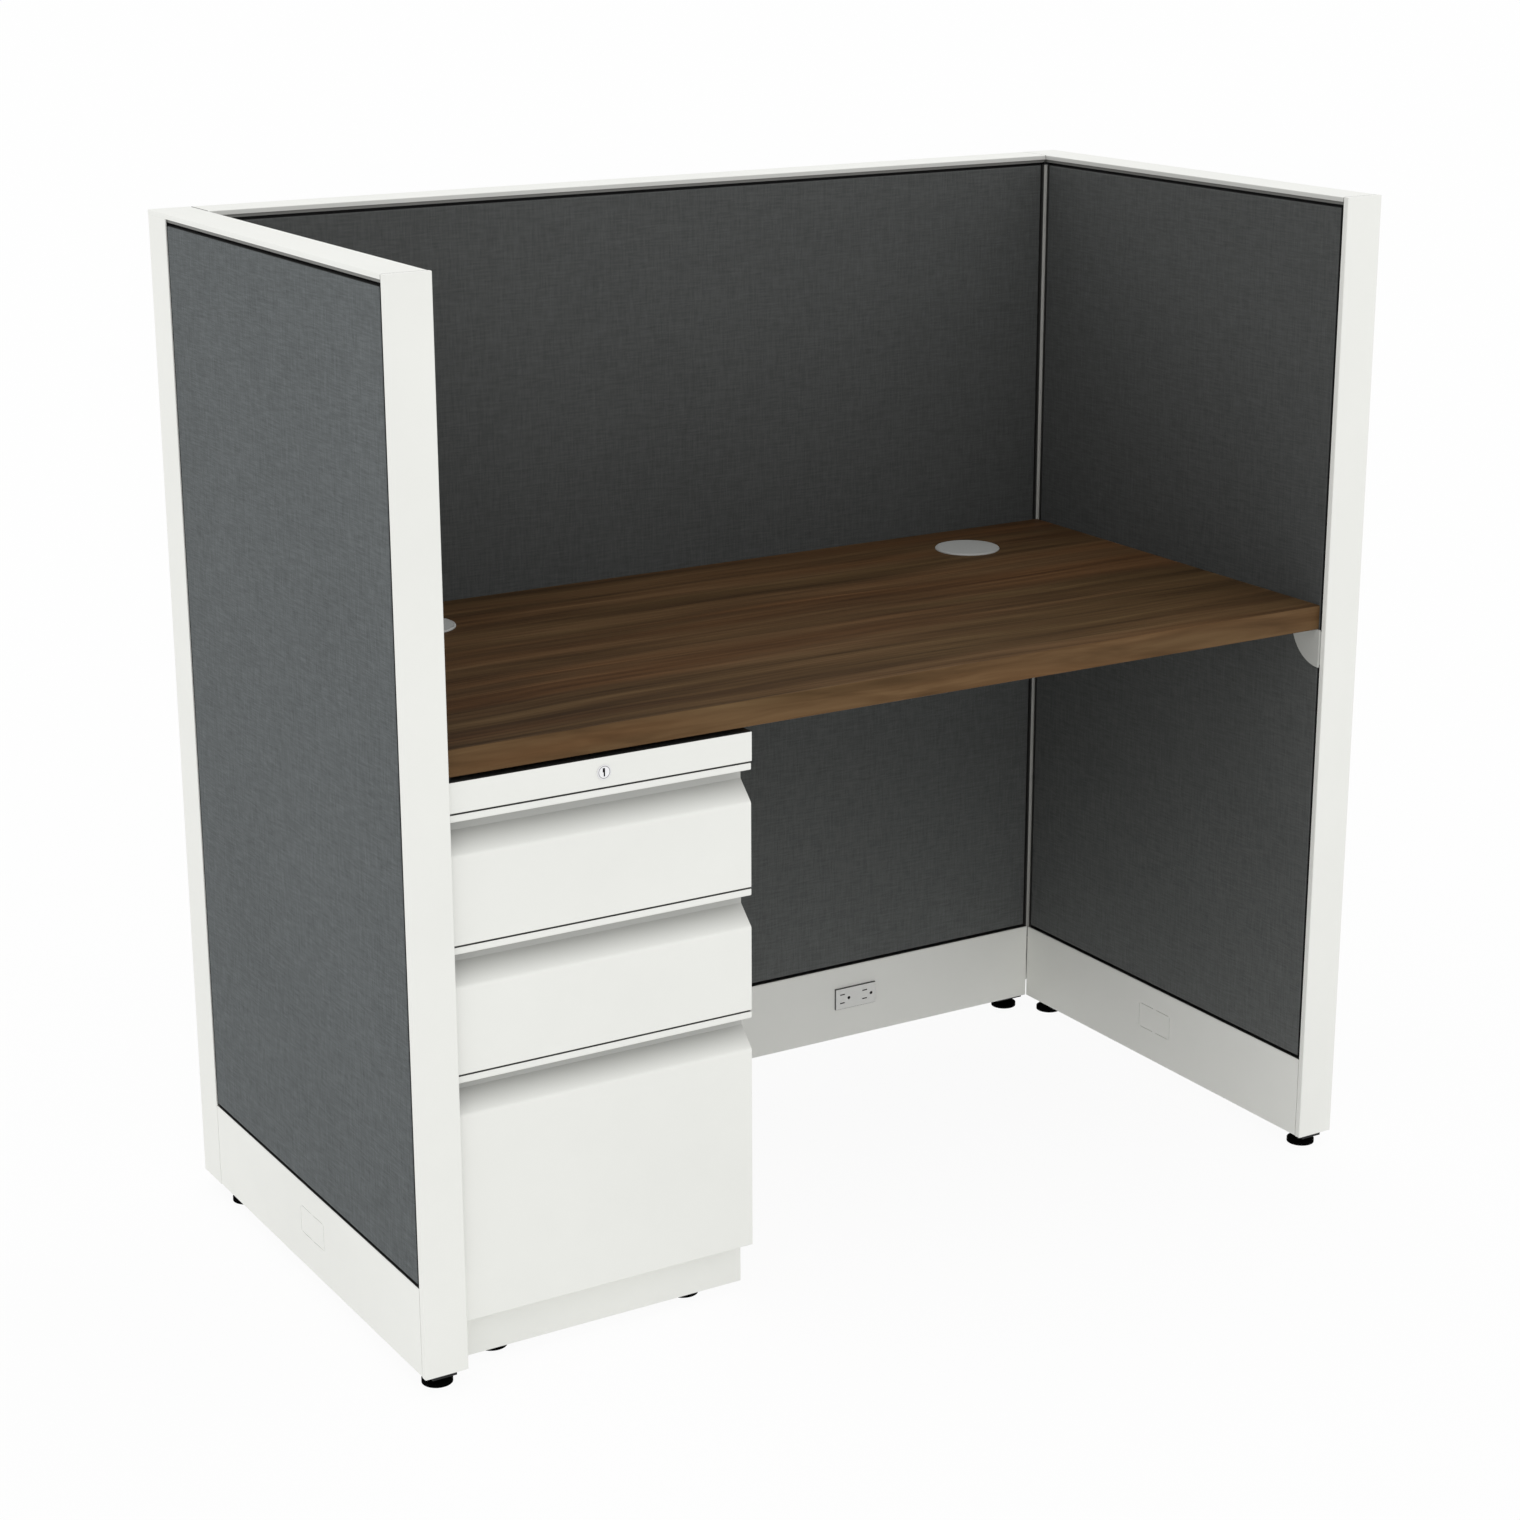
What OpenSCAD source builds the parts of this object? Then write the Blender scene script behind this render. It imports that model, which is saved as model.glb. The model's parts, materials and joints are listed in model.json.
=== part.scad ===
// Single-seat cubicle workstation: three fabric walls with base raceways, a worksurface with two
// grommets, and a support pedestal with two box drawers and a file drawer.
// Millimetres. X runs to the sitter's right, Y from the open front to the back wall, Z up.
// The origin is on the floor, under the middle of the footprint.

/* [Station] */
// Outside width across the two side walls
station_w = 1333.5; // [1280:0.5:1500]
// Outside depth from the end trims to the back face
station_d = 672.2; // [640:0.2:760]
// Height from the floor to the top of the caps
station_h = 1260; // [1180:1:1400]
// Thickness of every wall
wall_t = 54; // [52:0.5:60]
// Clear height under the raceway covers
floor_gap = 20; // [18:0.5:24]

/* [Trims and caps] */
// Sheet thickness of the caps, trims and covers
trim_wall = 1.5; // [1.2:0.1:1.8]
// Depth of an end trim, seen from the side
end_trim_d = 8; // [7:0.1:9]
// How far an end trim laps over its upright
trim_grip = 1.5; // [1:0.1:2]
// Height of a cap's visible edge
cap_edge_h = 5.9; // [5:0.1:8]
// Height of the recessed neck under a cap's edge
cap_neck_h = 4; // [3.5:0.1:6]
// Setback of the neck from the wall's face
cap_recess = 2.5; // [2:0.1:3.5]
// Dark gap between a cap and a tile
cap_gap = 3.5; // [3:0.1:5]
// Seam between a cap and what it meets at its ends
cap_seam = 0.4; // [0.3:0.05:0.6]
// How far a corner trim runs past the corner square
corner_lap = 2.8; // [2.5:0.1:4]
// Setback of the inner corner trims from the wall faces
inner_trim_recess = 2; // [1.9:0.1:3]
// How far the inner corner trims reach down behind the covers
inner_trim_drop = 17.4; // [14:0.2:20]

/* [Tiles and raceway] */
// Rounding of a wrapped tile's edges
tile_edge_r = 2; // [1:0.1:3]
// Gap beside a tile, where brackets hook in
slot_gap = 4.6; // [4:0.1:5.5]
// Height of the raceway covers
raceway_h = 109.2; // [104:0.2:120]
// Gap between a cover and the tile above it
tile_gap = 4.4; // [3.5:0.1:5.5]
// Joint between a cover and a trim
cover_joint = 1; // [0.6:0.1:1.4]
// Width of a knockout
knockout_w = 68; // [60:0.5:72]
// Height of a knockout
knockout_h = 34.5; // [33:0.5:38]
// Width of the cuts round a knockout
knockout_cut = 0.8; // [0.6:0.1:1.2]
// Height of a knockout's middle above the cover's lower edge
knockout_z = 61; // [55:0.5:66]
// Distance of the outlet from the middle of the back wall
outlet_x = 307.5; // [280:0.5:340]

/* [Steel frame] */
// Thickness of the frame inside a wall
frame_t = 30; // [28:0.5:32]
// Width of an upright, along the wall
upright_d = 42.8; // [40:0.2:46]
// Wall of the frame tubes
tube_wall = 1.6; // [1.2:0.1:1.8]
// Height of a rail
rail_h = 40; // [34:0.5:44]
// Height of the middle rail's lower edge
mid_rail_z = 600; // [500:5:640]
// How far the lowest rail laps behind the covers
rail_lap = 10; // [8:0.5:14]
// Pitch of the bracket slots
slot_pitch = 25.4; // [22:0.1:26]
// Height of a bracket slot
slot_h = 14; // [13:0.2:15]
// Width of a bracket slot
slot_w = 2.8; // [2.75:0.05:3.1]
// Height of an upright's foot above the floor
foot_z = 13; // [12.4:0.2:15]

/* [Worksurface] */
// Height of the worksurface
desk_z = 747.6; // [720:0.4:760]
// Thickness of the worksurface
desk_t = 31.5; // [25:0.5:36]
// Setback of the front edge from the end trims
desk_setback = 13.3; // [11:0.1:30]
// Rounding of the front edge
desk_edge_r = 2; // [1:0.1:4]
// Distance of the right grommet from the right end of the worksurface
right_grommet_x = 194.1; // [160:0.1:240]
// Distance of the left grommet from the left end of the worksurface
left_grommet_x = 208; // [160:0.5:240]
// Distance of the grommets from the back edge
grommet_y = 103.8; // [80:0.1:130]
// Cable hole in the worksurface
hole_d = 76; // [70:0.5:79]
// Flange of a grommet
flange_d = 88; // [86:0.5:95]
// Height of the flange above the worksurface
flange_h = 2.4; // [2:0.1:2.8]
// Reach of a desk bracket along the wall
bracket_r = 54; // [48:0.5:58]
// Plate thickness of the brackets
bracket_t = 2.5; // [2.1:0.1:2.6]
// Width of a bracket's flange under the worksurface
bracket_flange = 35; // [28:0.5:45]

/* [Pedestal] */
// Width of the pedestal
ped_w = 381; // [360:1:400]
// Depth of the pedestal
ped_d = 450; // [420:1:455]
// Gap between the pedestal and the left wall
ped_side_gap = 3.75; // [2:0.25:10]
// Gap between the pedestal and the worksurface
ped_top_gap = 5.7; // [4:0.1:9]
// Sheet thickness of the case
case_wall = 1.2; // [1:0.1:1.4]
// Height of the toe space under the fronts
toe_h = 72; // [66:0.5:80]
// Setback of the plinth from the fronts
toe_setback = 30.5; // [28:0.5:40]
// Height of the plinth's lower edge above the floor
plinth_z = 11.7; // [10:0.1:12.5]
// Distance of the pedestal's feet from its sides and front
ped_foot_inset = 62; // [55:0.5:70]
// Height of the lock fascia
fascia_h = 35.4; // [33:0.2:42]
// Height of a box drawer's front
box_front_h = 149.5; // [140:0.5:155]
// Gap between two fronts
front_gap = 1.9; // [1.4:0.1:3]

/* [Drawers] */
// Depth of a front, from its face to the case
front_d = 25.4; // [25.2:0.1:28]
// Sheet thickness of the fronts
front_wall = 1.2; // [1:0.1:1.4]
// How much narrower a front is than the case, on each side
front_inset = 1.2; // [1:0.1:2]
// Height of the lip over the finger pull
lip_h = 8.5; // [7.5:0.1:11]
// Depth of the finger pull
pull_d = 23.4; // [20:0.1:23.5]
// Distance from the front's top to where the pull starts to slope out
pull_top = 24; // [22:0.5:28]
// Distance from the front's top to the end of the slope
pull_end = 47; // [44:0.5:54]
// Height of a tray's bottom above its front's lower edge
tray_rise = 10; // [8:0.5:14]
// Distance from a box front's top down to the tray's rim
box_drop = 39.5; // [34:0.5:46]
// Distance from the file front's top down to the tray's rim
file_drop = 53; // [48:0.5:60]
// Width of a drawer slide between the case and the tray
slide_w = 12.7; // [12.5:0.1:14]
// Height of a slide's outer rail
slide_h = 46; // [42:0.5:48]
// Depth of a slide's outer rail
slide_d = 10; // [9.8:0.1:11]
// Sheet thickness of the slides
slide_wall = 1.2; // [1:0.1:1.3]
// Running clearance between two members of a slide
slide_play = 0.3; // [0.25:0.05:0.35]

/* [Lock] */
// Visible diameter of the lock
lock_d = 17.5; // [17:0.5:19]
// Diameter of the turning plug
plug_d = 14.5; // [13:0.5:14.5]
// Radius of the crank at the back of the case
crank_r = 8; // [7:0.2:9]
// Space between the trays and the back of the case, for the lock bar
lock_bay = 24; // [22:0.5:30]

/* [Glides] */
// Diameter of a glide's base
glide_d = 36.2; // [32:0.2:42]
// Height of a glide's base
glide_h = 9.5; // [8:0.1:10]
// Diameter of a glide's stem
stem_d = 10; // [8:0.5:12]
// Length of a glide, from the floor to the top of its stem
glide_len = 50; // [46:0.5:56]

/* [Hidden] */
$fn = 48;
// Overrun of a cut past the face that it opens
cut = 1;
// Radial clearance of a shaft or a thread in its bore
bore_play = 0.05;
// Clearance of loose fits, such as a plate in a slot
fit = 0.3;
// Hairline between two pieces that are welded or riveted together
weld_gap = 0.2;

// Walls. The side walls run along Y and end at the corner squares; the back wall lies between them.
tile_t = (wall_t - frame_t) / 2;
inner_x = station_w / 2 - wall_t;
front_y = -station_d / 2;
inner_y = station_d / 2 - wall_t;
side_run = station_d - wall_t;
back_run = 2 * inner_x;
frame_top = station_h - trim_wall;
frame_u0 = end_trim_d - trim_grip;
front_slot_u = end_trim_d + slot_gap / 2;
end_slot_u = corner_lap + slot_gap / 2;
corner_tile_u = corner_lap + slot_gap;
cover_top = floor_gap + raceway_h;
tile_z0 = cover_top + tile_gap;
tile_z1 = station_h - cap_edge_h - cap_neck_h - cap_gap;
low_rail_z = cover_top - rail_lap;
dash_share = 0.8;

// Frame details
boss_d = stem_d + 6;
boss_h = 26;
foot_plate = 4;
nut_gap = 1;
window_w = 16;
window_margin = 8;
window_z0 = foot_z + boss_h + window_margin;
window_z1 = low_rail_z - window_margin;
slot_margin = 8;

// Worksurface and its brackets
desk_z0 = desk_z - desk_t;
desk_side_gap = 0.3;
desk_w = 2 * (inner_x - desk_side_gap);
desk_y0 = front_y + desk_setback;
desk_y1 = inner_y - desk_side_gap;
hook_drop = 20;
hook_z = desk_z0 - hook_drop;
hook_tab_h = hook_drop + slot_pitch;
hook_lip = 4;
hook_h = 9;
bracket_bow = 5;
flange_setback = 12;
flange_u0 = slot_gap + flange_setback;
bracket_len = bracket_r - 2 * bracket_bow;
slot_steps = [
    ceil((tile_z0 + slot_margin - hook_z) / slot_pitch) :
    floor((tile_z1 - slot_margin - slot_h - hook_z) / slot_pitch)
];
bracket_screw_shares = [0.3, 0.75];
screw_d = 4.5;
screw_head_d = 9;
screw_head_h = 2.4;
screw_bite = 18;
screw_fit = 0.25;

// Grommets
sleeve_d = hole_d - 2 * fit;
sleeve_wall = 2;
sleeve_h = 24;
cap_d = (hole_d + flange_d) / 2;
cap_t = 1.4;
cap_step_h = 1.2;

// Power in the raceway
outlet_w = 68;
outlet_h = 31;
outlet_proud = 3;
outlet_fit = 0.5;
outlet_pitch = 38.1;
blade_gap = 12.7;
blade_l = 8;
blade_t = 1.8;
ground_d = 4.8;
ground_x = 11;
blade_depth = 6;
block_w = 190;
block_t = 28;
block_h = 64;
port_l = 24;
port_t = 20;
port_h = 36;

// Pedestal
ped_x0 = -inner_x + ped_side_gap;
ped_top = desk_z0 - ped_top_gap;
fascia_z0 = ped_top - fascia_h;
upper_z0 = fascia_z0 - front_gap - box_front_h;
middle_z0 = upper_z0 - front_gap - box_front_h;
file_z0 = toe_h;
file_front_h = middle_z0 - front_gap - file_z0;
front_w = ped_w - 2 * front_inset;
front_back = front_d - fit;
tray_x0 = case_wall + slide_w;
tray_w = ped_w - 2 * tray_x0;
case_back = ped_d - case_wall;
tray_d = case_back - lock_bay - front_back;
tray_wall = 1.2;
hem_h = 8;
hem_w = 1.2;
file_bar_w = 3;
file_bar_h = 12;
file_bar_inset = 19.6;
rail_end = 3;
rail_y0 = front_d + rail_end;
rail_len = tray_d - 3 * rail_end;
rail_lip = 2.3;
slide_rise = 32;
lip_r = 2.5;
face_r = 6;
edge_r = 1.2;
channel_w = 25;
channel_shares = [0.2, 0.8];
channel_screw_shares = [0.2, 0.8];
gusset = 46;

// Lock and lock bar
lock_x = ped_w / 2;
lock_z = fascia_z0 + fascia_h / 2;
bezel_t = 0.8;
bezel_lap = 0.5;
barrel_d = lock_d - 2 * bezel_lap;
barrel_l = front_d + 10;
lock_nut_d = 25;
lock_nut_h = 5;
shaft_d = 6;
crank_angle = 45;
pin_d = 4;
pin_play = 0.5;
arm_t = 3;
arm_gap = 1;
bar_t = 3;
bar_gap = 2;
bar_rim = 4;
lock_stroke = 2 * crank_r * sin(crank_angle);
bar_y1 = case_back - bar_gap;
bar_y0 = bar_y1 - bar_t;
bar_x0 = lock_x + crank_r * cos(crank_angle) - pin_d / 2 - pin_play - bar_rim;
bar_x1 = lock_x + crank_r + pin_d / 2 + pin_play + bar_rim;
catch_share = 0.4;
catch_t = 2;
catch_foot_h = 10;
catch_gap = 4;
tooth_gap = 2.5;
tooth_clear = 2;
catch_play = 1.7;
catch_lip = lock_stroke - tooth_clear + catch_play;
finger_t = 3;
finger_foot_h = 10;
keeper_t = 2;
keeper_h = 14;
bearing_w = 30;
bearing_h = 10;
key_depth = 9;

// Finishes
off_white = "#ecede8";
charcoal = "#4a4f50";
walnut = "#5a422c";
zinc = "#b4b7b9";
grey = "#8d9092";
black = "#141414";

// Placing. A wall is drawn along X with its inner side at low Y, and starts at X = 0.
module on_left_wall() {
    translate([-station_w / 2 + wall_t / 2, front_y, 0]) rotate([0, 0, 90]) children();
}

module on_right_wall() {
    mirror([1, 0, 0]) on_left_wall() children();
}

module on_back_wall() {
    translate([-inner_x, station_d / 2 - wall_t / 2, 0]) children();
}

module both_sides() {
    children();
    mirror([1, 0, 0]) children();
}

module at_pedestal() {
    translate([ped_x0, desk_y0, 0]) children();
}

// Outlines and extrusions. along_x draws an outline of depth and height, and runs it along X.
module along_x(length) {
    rotate([90, 0, 90]) linear_extrude(height = length) children();
}

module along_y(length) {
    translate([0, length, 0]) rotate([90, 0, 0]) linear_extrude(height = length) children();
}

module swap_axes() {
    mirror([1, -1, 0]) children();
}

// Rectangle whose two corners on the low-Y side are round
module front_rounded(w, d, r) {
    translate([0, r]) square([w, d - r]);
    translate([r, 0]) square([w - 2 * r, r]);
    for (x = [r, w - r]) translate([x, r]) circle(r = r);
}

// Cutter that rounds the corner at the origin of an outline that lies at high X and high Y
module corner_cut(r) {
    difference() {
        translate([-cut, -cut]) square(r + cut);
        translate([r, r]) circle(r = r);
    }
}

// Folded sheet: a face at low X with round outside corners, and two flanges that run to depth d
module c_section(h, d, t, r) {
    difference() {
        swap_axes() front_rounded(h, d, r);
        translate([t, t]) square([d, h - 2 * t]);
    }
}

// Sheet of thickness t that follows the middle line of a path with square corners
module sheet_path(path, t) {
    for (i = [0 : len(path) - 2]) {
        a = path[i];
        b = path[i + 1];
        translate([min(a[0], b[0]) - t / 2, min(a[1], b[1]) - t / 2])
            square([abs(b[0] - a[0]) + t, abs(b[1] - a[1]) + t]);
    }
}

// Steel frame of a wall
module upright(u0, slot_u) {
    mid_u = u0 + upright_d / 2;
    difference() {
        translate([u0, -frame_t / 2, foot_z]) cube([upright_d, frame_t, frame_top - foot_z]);
        difference() {
            translate([u0 + tube_wall, tube_wall - frame_t / 2, foot_z + foot_plate])
                cube([upright_d - 2 * tube_wall, frame_t - 2 * tube_wall, frame_top]);
            translate([mid_u, 0, foot_z]) cylinder(d = boss_d, h = boss_h);
        }
        translate([mid_u, 0, foot_z - cut])
            cylinder(d = stem_d + 2 * bore_play, h = boss_h + 2 * cut);
        translate([u0 - cut, -window_w / 2, window_z0])
            cube([upright_d + 2 * cut, window_w, window_z1 - window_z0]);
        for (k = slot_steps)
            translate([slot_u - slot_w / 2, -frame_t / 2 - cut, hook_z + k * slot_pitch])
                cube([slot_w, frame_t + 2 * cut, slot_h]);
    }
}

module rail(u0, u1, z0) {
    translate([u0 + upright_d + weld_gap, -frame_t / 2, z0])
        along_x(u1 - u0 - 2 * (upright_d + weld_gap))
            difference() {
                square([frame_t, rail_h]);
                translate([tube_wall, tube_wall])
                    square([frame_t - 2 * tube_wall, rail_h - 2 * tube_wall]);
            }
}

module wall_frame(u0, u1, first_slot, last_slot) {
    upright(u0, first_slot);
    upright(u1 - upright_d, last_slot);
    for (z = [low_rail_z, mid_rail_z, frame_top - rail_h]) rail(u0, u1, z);
}

module side_frame() {
    wall_frame(frame_u0, side_run, front_slot_u, side_run - end_slot_u);
}

module left_wall_frame() {
    color(black) on_left_wall() side_frame();
}

module right_wall_frame() {
    color(black) on_right_wall() side_frame();
}

module back_wall_frame() {
    color(black) on_back_wall() wall_frame(0, back_run, end_slot_u, back_run - end_slot_u);
}

// Fabric tiles, drawn with the face on the inner side
module tile(u0, u1) {
    h = tile_z1 - tile_z0;
    translate([u0, -wall_t / 2, tile_z0]) intersection() {
        linear_extrude(height = h) front_rounded(u1 - u0, tile_t, tile_edge_r);
        along_x(u1 - u0) swap_axes() front_rounded(h, tile_t, tile_edge_r);
    }
}

module side_tile() {
    tile(end_trim_d + slot_gap, side_run - corner_tile_u);
}

module back_tile() {
    tile(corner_tile_u, back_run - corner_tile_u);
}

module left_inner_tile() {
    color(charcoal) on_left_wall() side_tile();
}

module left_outer_tile() {
    color(charcoal) on_left_wall() mirror([0, 1, 0]) side_tile();
}

module right_inner_tile() {
    color(charcoal) on_right_wall() side_tile();
}

module right_outer_tile() {
    color(charcoal) on_right_wall() mirror([0, 1, 0]) side_tile();
}

module back_inner_tile() {
    color(charcoal) on_back_wall() back_tile();
}

module back_outer_tile() {
    color(charcoal) on_back_wall() mirror([0, 1, 0]) back_tile();
}

// Top caps: an edge with round upper corners, a recessed neck, and two ribs that grip the frame
module cap_edge_outline() {
    translate([-wall_t / 2, 0]) mirror([0, 1, 0]) difference() {
        front_rounded(wall_t, cap_edge_h, trim_wall);
        translate([trim_wall, trim_wall]) square([wall_t - 2 * trim_wall, cap_edge_h]);
    }
}

module cap_neck_outline() {
    edge_x = (wall_t - trim_wall) / 2;
    neck_x = edge_x - cap_recess;
    grip_x = (frame_t + trim_wall) / 2 + fit;
    edge_y = trim_wall / 2 - cap_edge_h;
    neck_y = edge_y - cap_neck_h;
    path = [[edge_x, edge_y], [neck_x, edge_y], [neck_x, neck_y], [grip_x, neck_y],
            [grip_x, -trim_wall / 2]];
    for (side = [0, 1]) mirror([side, 0]) sheet_path(path, trim_wall);
}

module cap(u0, u1, neck_u1) {
    translate([u0, 0, station_h]) along_x(u1 - u0) cap_edge_outline();
    translate([u0, 0, station_h]) along_x(neck_u1 - u0) cap_neck_outline();
}

module side_cap() {
    cap(end_trim_d + cap_seam, station_d, station_d - cap_recess);
    translate([station_d - trim_wall, -wall_t / 2, station_h - cap_edge_h])
        cube([trim_wall, wall_t, cap_edge_h - trim_wall]);
}

module left_top_cap() {
    color(off_white) on_left_wall() side_cap();
}

module right_top_cap() {
    color(off_white) on_right_wall() side_cap();
}

module back_top_cap() {
    color(off_white) on_back_wall() cap(cap_seam, back_run - cap_seam, back_run - cap_seam);
}

// End trims: a shallow channel over the whole height, closed on top, with ribs against the upright
module end_trim() {
    rib_y = frame_t / 2 - 2 * trim_wall;
    translate([0, -wall_t / 2, floor_gap]) linear_extrude(height = station_h - floor_gap)
        c_section(wall_t, end_trim_d, trim_wall, trim_wall);
    for (y = [-rib_y - trim_wall, rib_y]) translate([trim_wall, y, floor_gap])
        cube([frame_u0 - trim_wall, trim_wall, frame_top - floor_gap]);
    translate([trim_wall, -wall_t / 2 + trim_wall, frame_top])
        cube([end_trim_d - trim_wall, wall_t - 2 * trim_wall, trim_wall]);
}

module end_trims() {
    color(off_white) both_sides() on_left_wall() end_trim();
}

// Corner post: a square tube with its inner corner notched for the inner corner trim
module corner_post_outline() {
    n = inner_trim_recess + trim_wall + fit;
    s = wall_t - trim_wall;
    w = tube_wall;
    difference() {
        polygon([[n, 0], [s, 0], [s, s], [0, s], [0, n], [n, n]]);
        polygon([[n + w, w], [s - w, w], [s - w, s - w], [w, s - w], [w, n + w], [n + w, n + w]]);
    }
}

module corner_posts() {
    color(black) both_sides() translate([inner_x, inner_y, tile_z0])
        linear_extrude(height = station_h - cap_edge_h - cap_neck_h - tile_z0)
            corner_post_outline();
}

// Corner trims: an angle over the whole height round the outside of each corner
module corner_trim_outline() {
    difference() {
        translate([-corner_lap, -corner_lap]) square(wall_t + corner_lap);
        translate([-corner_lap, -corner_lap]) square(wall_t + corner_lap - trim_wall);
        translate([wall_t, wall_t]) rotate(180) corner_cut(trim_wall);
    }
}

module corner_trims() {
    color(off_white) both_sides() translate([inner_x, inner_y, floor_gap])
        linear_extrude(height = station_h - cap_edge_h - floor_gap) corner_trim_outline();
}

// Inner corner trims: a small angle set back between the tiles, with a rib against each upright
module inner_trim_outline() {
    r = inner_trim_recess;
    t = trim_wall;
    for (swap = [0, 1]) mirror([swap, -swap]) {
        translate([r, -corner_lap]) square([t, corner_lap + r + t]);
        translate([r, -corner_lap]) square([tile_t - r, t]);
    }
}

module inner_corner_trims() {
    z0 = cover_top - inner_trim_drop;
    color(off_white) both_sides() translate([inner_x, inner_y, z0])
        linear_extrude(height = tile_z1 - z0) inner_trim_outline();
}

// Raceway covers, drawn with the face on the inner side
module knockout_cuts(u) {
    w = knockout_w;
    h = knockout_h;
    level_cut = [w * dash_share / 2, trim_wall + 2 * cut, knockout_cut];
    upright_cut = [knockout_cut, trim_wall + 2 * cut, h * dash_share / 4];
    translate([u, -wall_t / 2 - cut, floor_gap + knockout_z]) for (side = [-1, 1]) {
        for (i = [-1, 1])
            translate([i * w / 4 - level_cut[0] / 2, 0, side * h / 2 - knockout_cut / 2])
                cube(level_cut);
        for (i = [-3, -1, 1, 3])
            translate([side * w / 2 - knockout_cut / 2, 0, i * h / 8 - upright_cut[2] / 2])
                cube(upright_cut);
    }
}

module cover(u0, u1) {
    translate([u0, -wall_t / 2, floor_gap]) along_x(u1 - u0)
        c_section(raceway_h, tile_t, trim_wall, trim_wall);
}

// Takes the upper flange away from behind an inner corner trim
module flange_relief(u0, u1) {
    translate([u0, -wall_t / 2 + trim_wall, cover_top - 2 * trim_wall])
        cube([u1 - u0, tile_t, 3 * trim_wall]);
}

module side_inner_cover() {
    difference() {
        cover(end_trim_d + cover_joint, side_run - cover_joint);
        knockout_cuts((end_trim_d + side_run) / 2);
        flange_relief(side_run - corner_lap - fit, side_run);
    }
}

module side_outer_cover() {
    difference() {
        cover(end_trim_d + cover_joint, side_run - corner_lap - cover_joint);
        knockout_cuts((end_trim_d + side_run) / 2);
    }
}

module left_inner_cover() {
    color(off_white) on_left_wall() side_inner_cover();
}

module left_outer_cover() {
    color(off_white) on_left_wall() mirror([0, 1, 0]) side_outer_cover();
}

module right_inner_cover() {
    color(off_white) on_right_wall() side_inner_cover();
}

module right_outer_cover() {
    color(off_white) on_right_wall() mirror([0, 1, 0]) side_outer_cover();
}

module back_inner_cover() {
    relief = corner_lap + fit;
    opening = [outlet_w + 2 * outlet_fit, trim_wall + 2 * cut, outlet_h + 2 * outlet_fit];
    color(off_white) on_back_wall() difference() {
        cover(cover_joint, back_run - cover_joint);
        knockout_cuts(back_run / 2 - outlet_x);
        translate([back_run / 2 + outlet_x - opening[0] / 2, -wall_t / 2 - cut,
                   floor_gap + knockout_z - opening[2] / 2]) cube(opening);
        flange_relief(0, relief);
        flange_relief(back_run - relief, back_run);
    }
}

module back_outer_cover() {
    end = corner_lap + cover_joint;
    color(off_white) on_back_wall() mirror([0, 1, 0]) difference() {
        cover(end, back_run - end);
        for (side = [-1, 1]) knockout_cuts(back_run / 2 + side * outlet_x);
    }
}

// Power in the back raceway: a distribution block under the lowest rail, and a duplex outlet
module power_block() {
    color(black) on_back_wall()
        translate([back_run / 2 + outlet_x, 0, low_rail_z - block_h]) {
            translate([-block_w / 2, -block_t / 2, 0]) cube([block_w, block_t, block_h]);
            translate([-block_w / 2 - port_l, -port_t / 2, (block_h - port_h) / 2])
                cube([block_w + 2 * port_l, port_t, port_h]);
        }
}

module receptacle_holes() {
    for (side = [-1, 1])
        translate([-blade_l / 2, -cut, side * blade_gap / 2 - blade_t / 2])
            cube([blade_l, blade_depth + cut, blade_t]);
    translate([ground_x, -cut, 0]) rotate([-90, 0, 0]) cylinder(d = ground_d, h = blade_depth + cut);
}

module outlet() {
    depth = outlet_proud + (wall_t - block_t) / 2;
    color(off_white) on_back_wall()
        translate([back_run / 2 + outlet_x, -wall_t / 2 - outlet_proud, floor_gap + knockout_z])
            difference() {
                translate([-outlet_w / 2, 0, -outlet_h / 2]) linear_extrude(height = outlet_h)
                    front_rounded(outlet_w, depth, trim_wall);
                for (side = [-1, 1])
                    translate([side * outlet_pitch / 2 - blade_l / 2, 0, 0]) receptacle_holes();
            }
}

// Worksurface
function bracket_screw_x() = inner_x - fit - bracket_flange / 2;
function bracket_screw_y(share) = [
    front_y + front_slot_u + flange_u0 + share * bracket_len,
    front_y + side_run - end_slot_u - flange_u0 - share * bracket_len
];
function channel_y(share) = desk_y0 + front_d + share * (case_back - front_d);
function bracket_screws() = [
    for (side = [-1, 1], share = bracket_screw_shares, y = bracket_screw_y(share))
        [side * bracket_screw_x(), y]
];
function pedestal_screws() = [
    for (a = channel_screw_shares, b = channel_shares) [ped_x0 + a * ped_w, channel_y(b)]
];
function grommets() = [
    [left_grommet_x - desk_w / 2, desk_y1 - grommet_y],
    [desk_w / 2 - right_grommet_x, desk_y1 - grommet_y]
];

module worksurface() {
    color(walnut) difference() {
        translate([-desk_w / 2, desk_y0, desk_z0]) along_x(desk_w)
            swap_axes() front_rounded(desk_t, desk_y1 - desk_y0, desk_edge_r);
        for (p = grommets()) translate([p[0], p[1], desk_z0 - cut])
            cylinder(d = hole_d, h = desk_t + 2 * cut);
        for (p = concat(bracket_screws(), pedestal_screws())) translate([p[0], p[1], desk_z0 - cut])
            cylinder(d = screw_d + 2 * bore_play, h = screw_bite + 2 * cut);
    }
}

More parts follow.
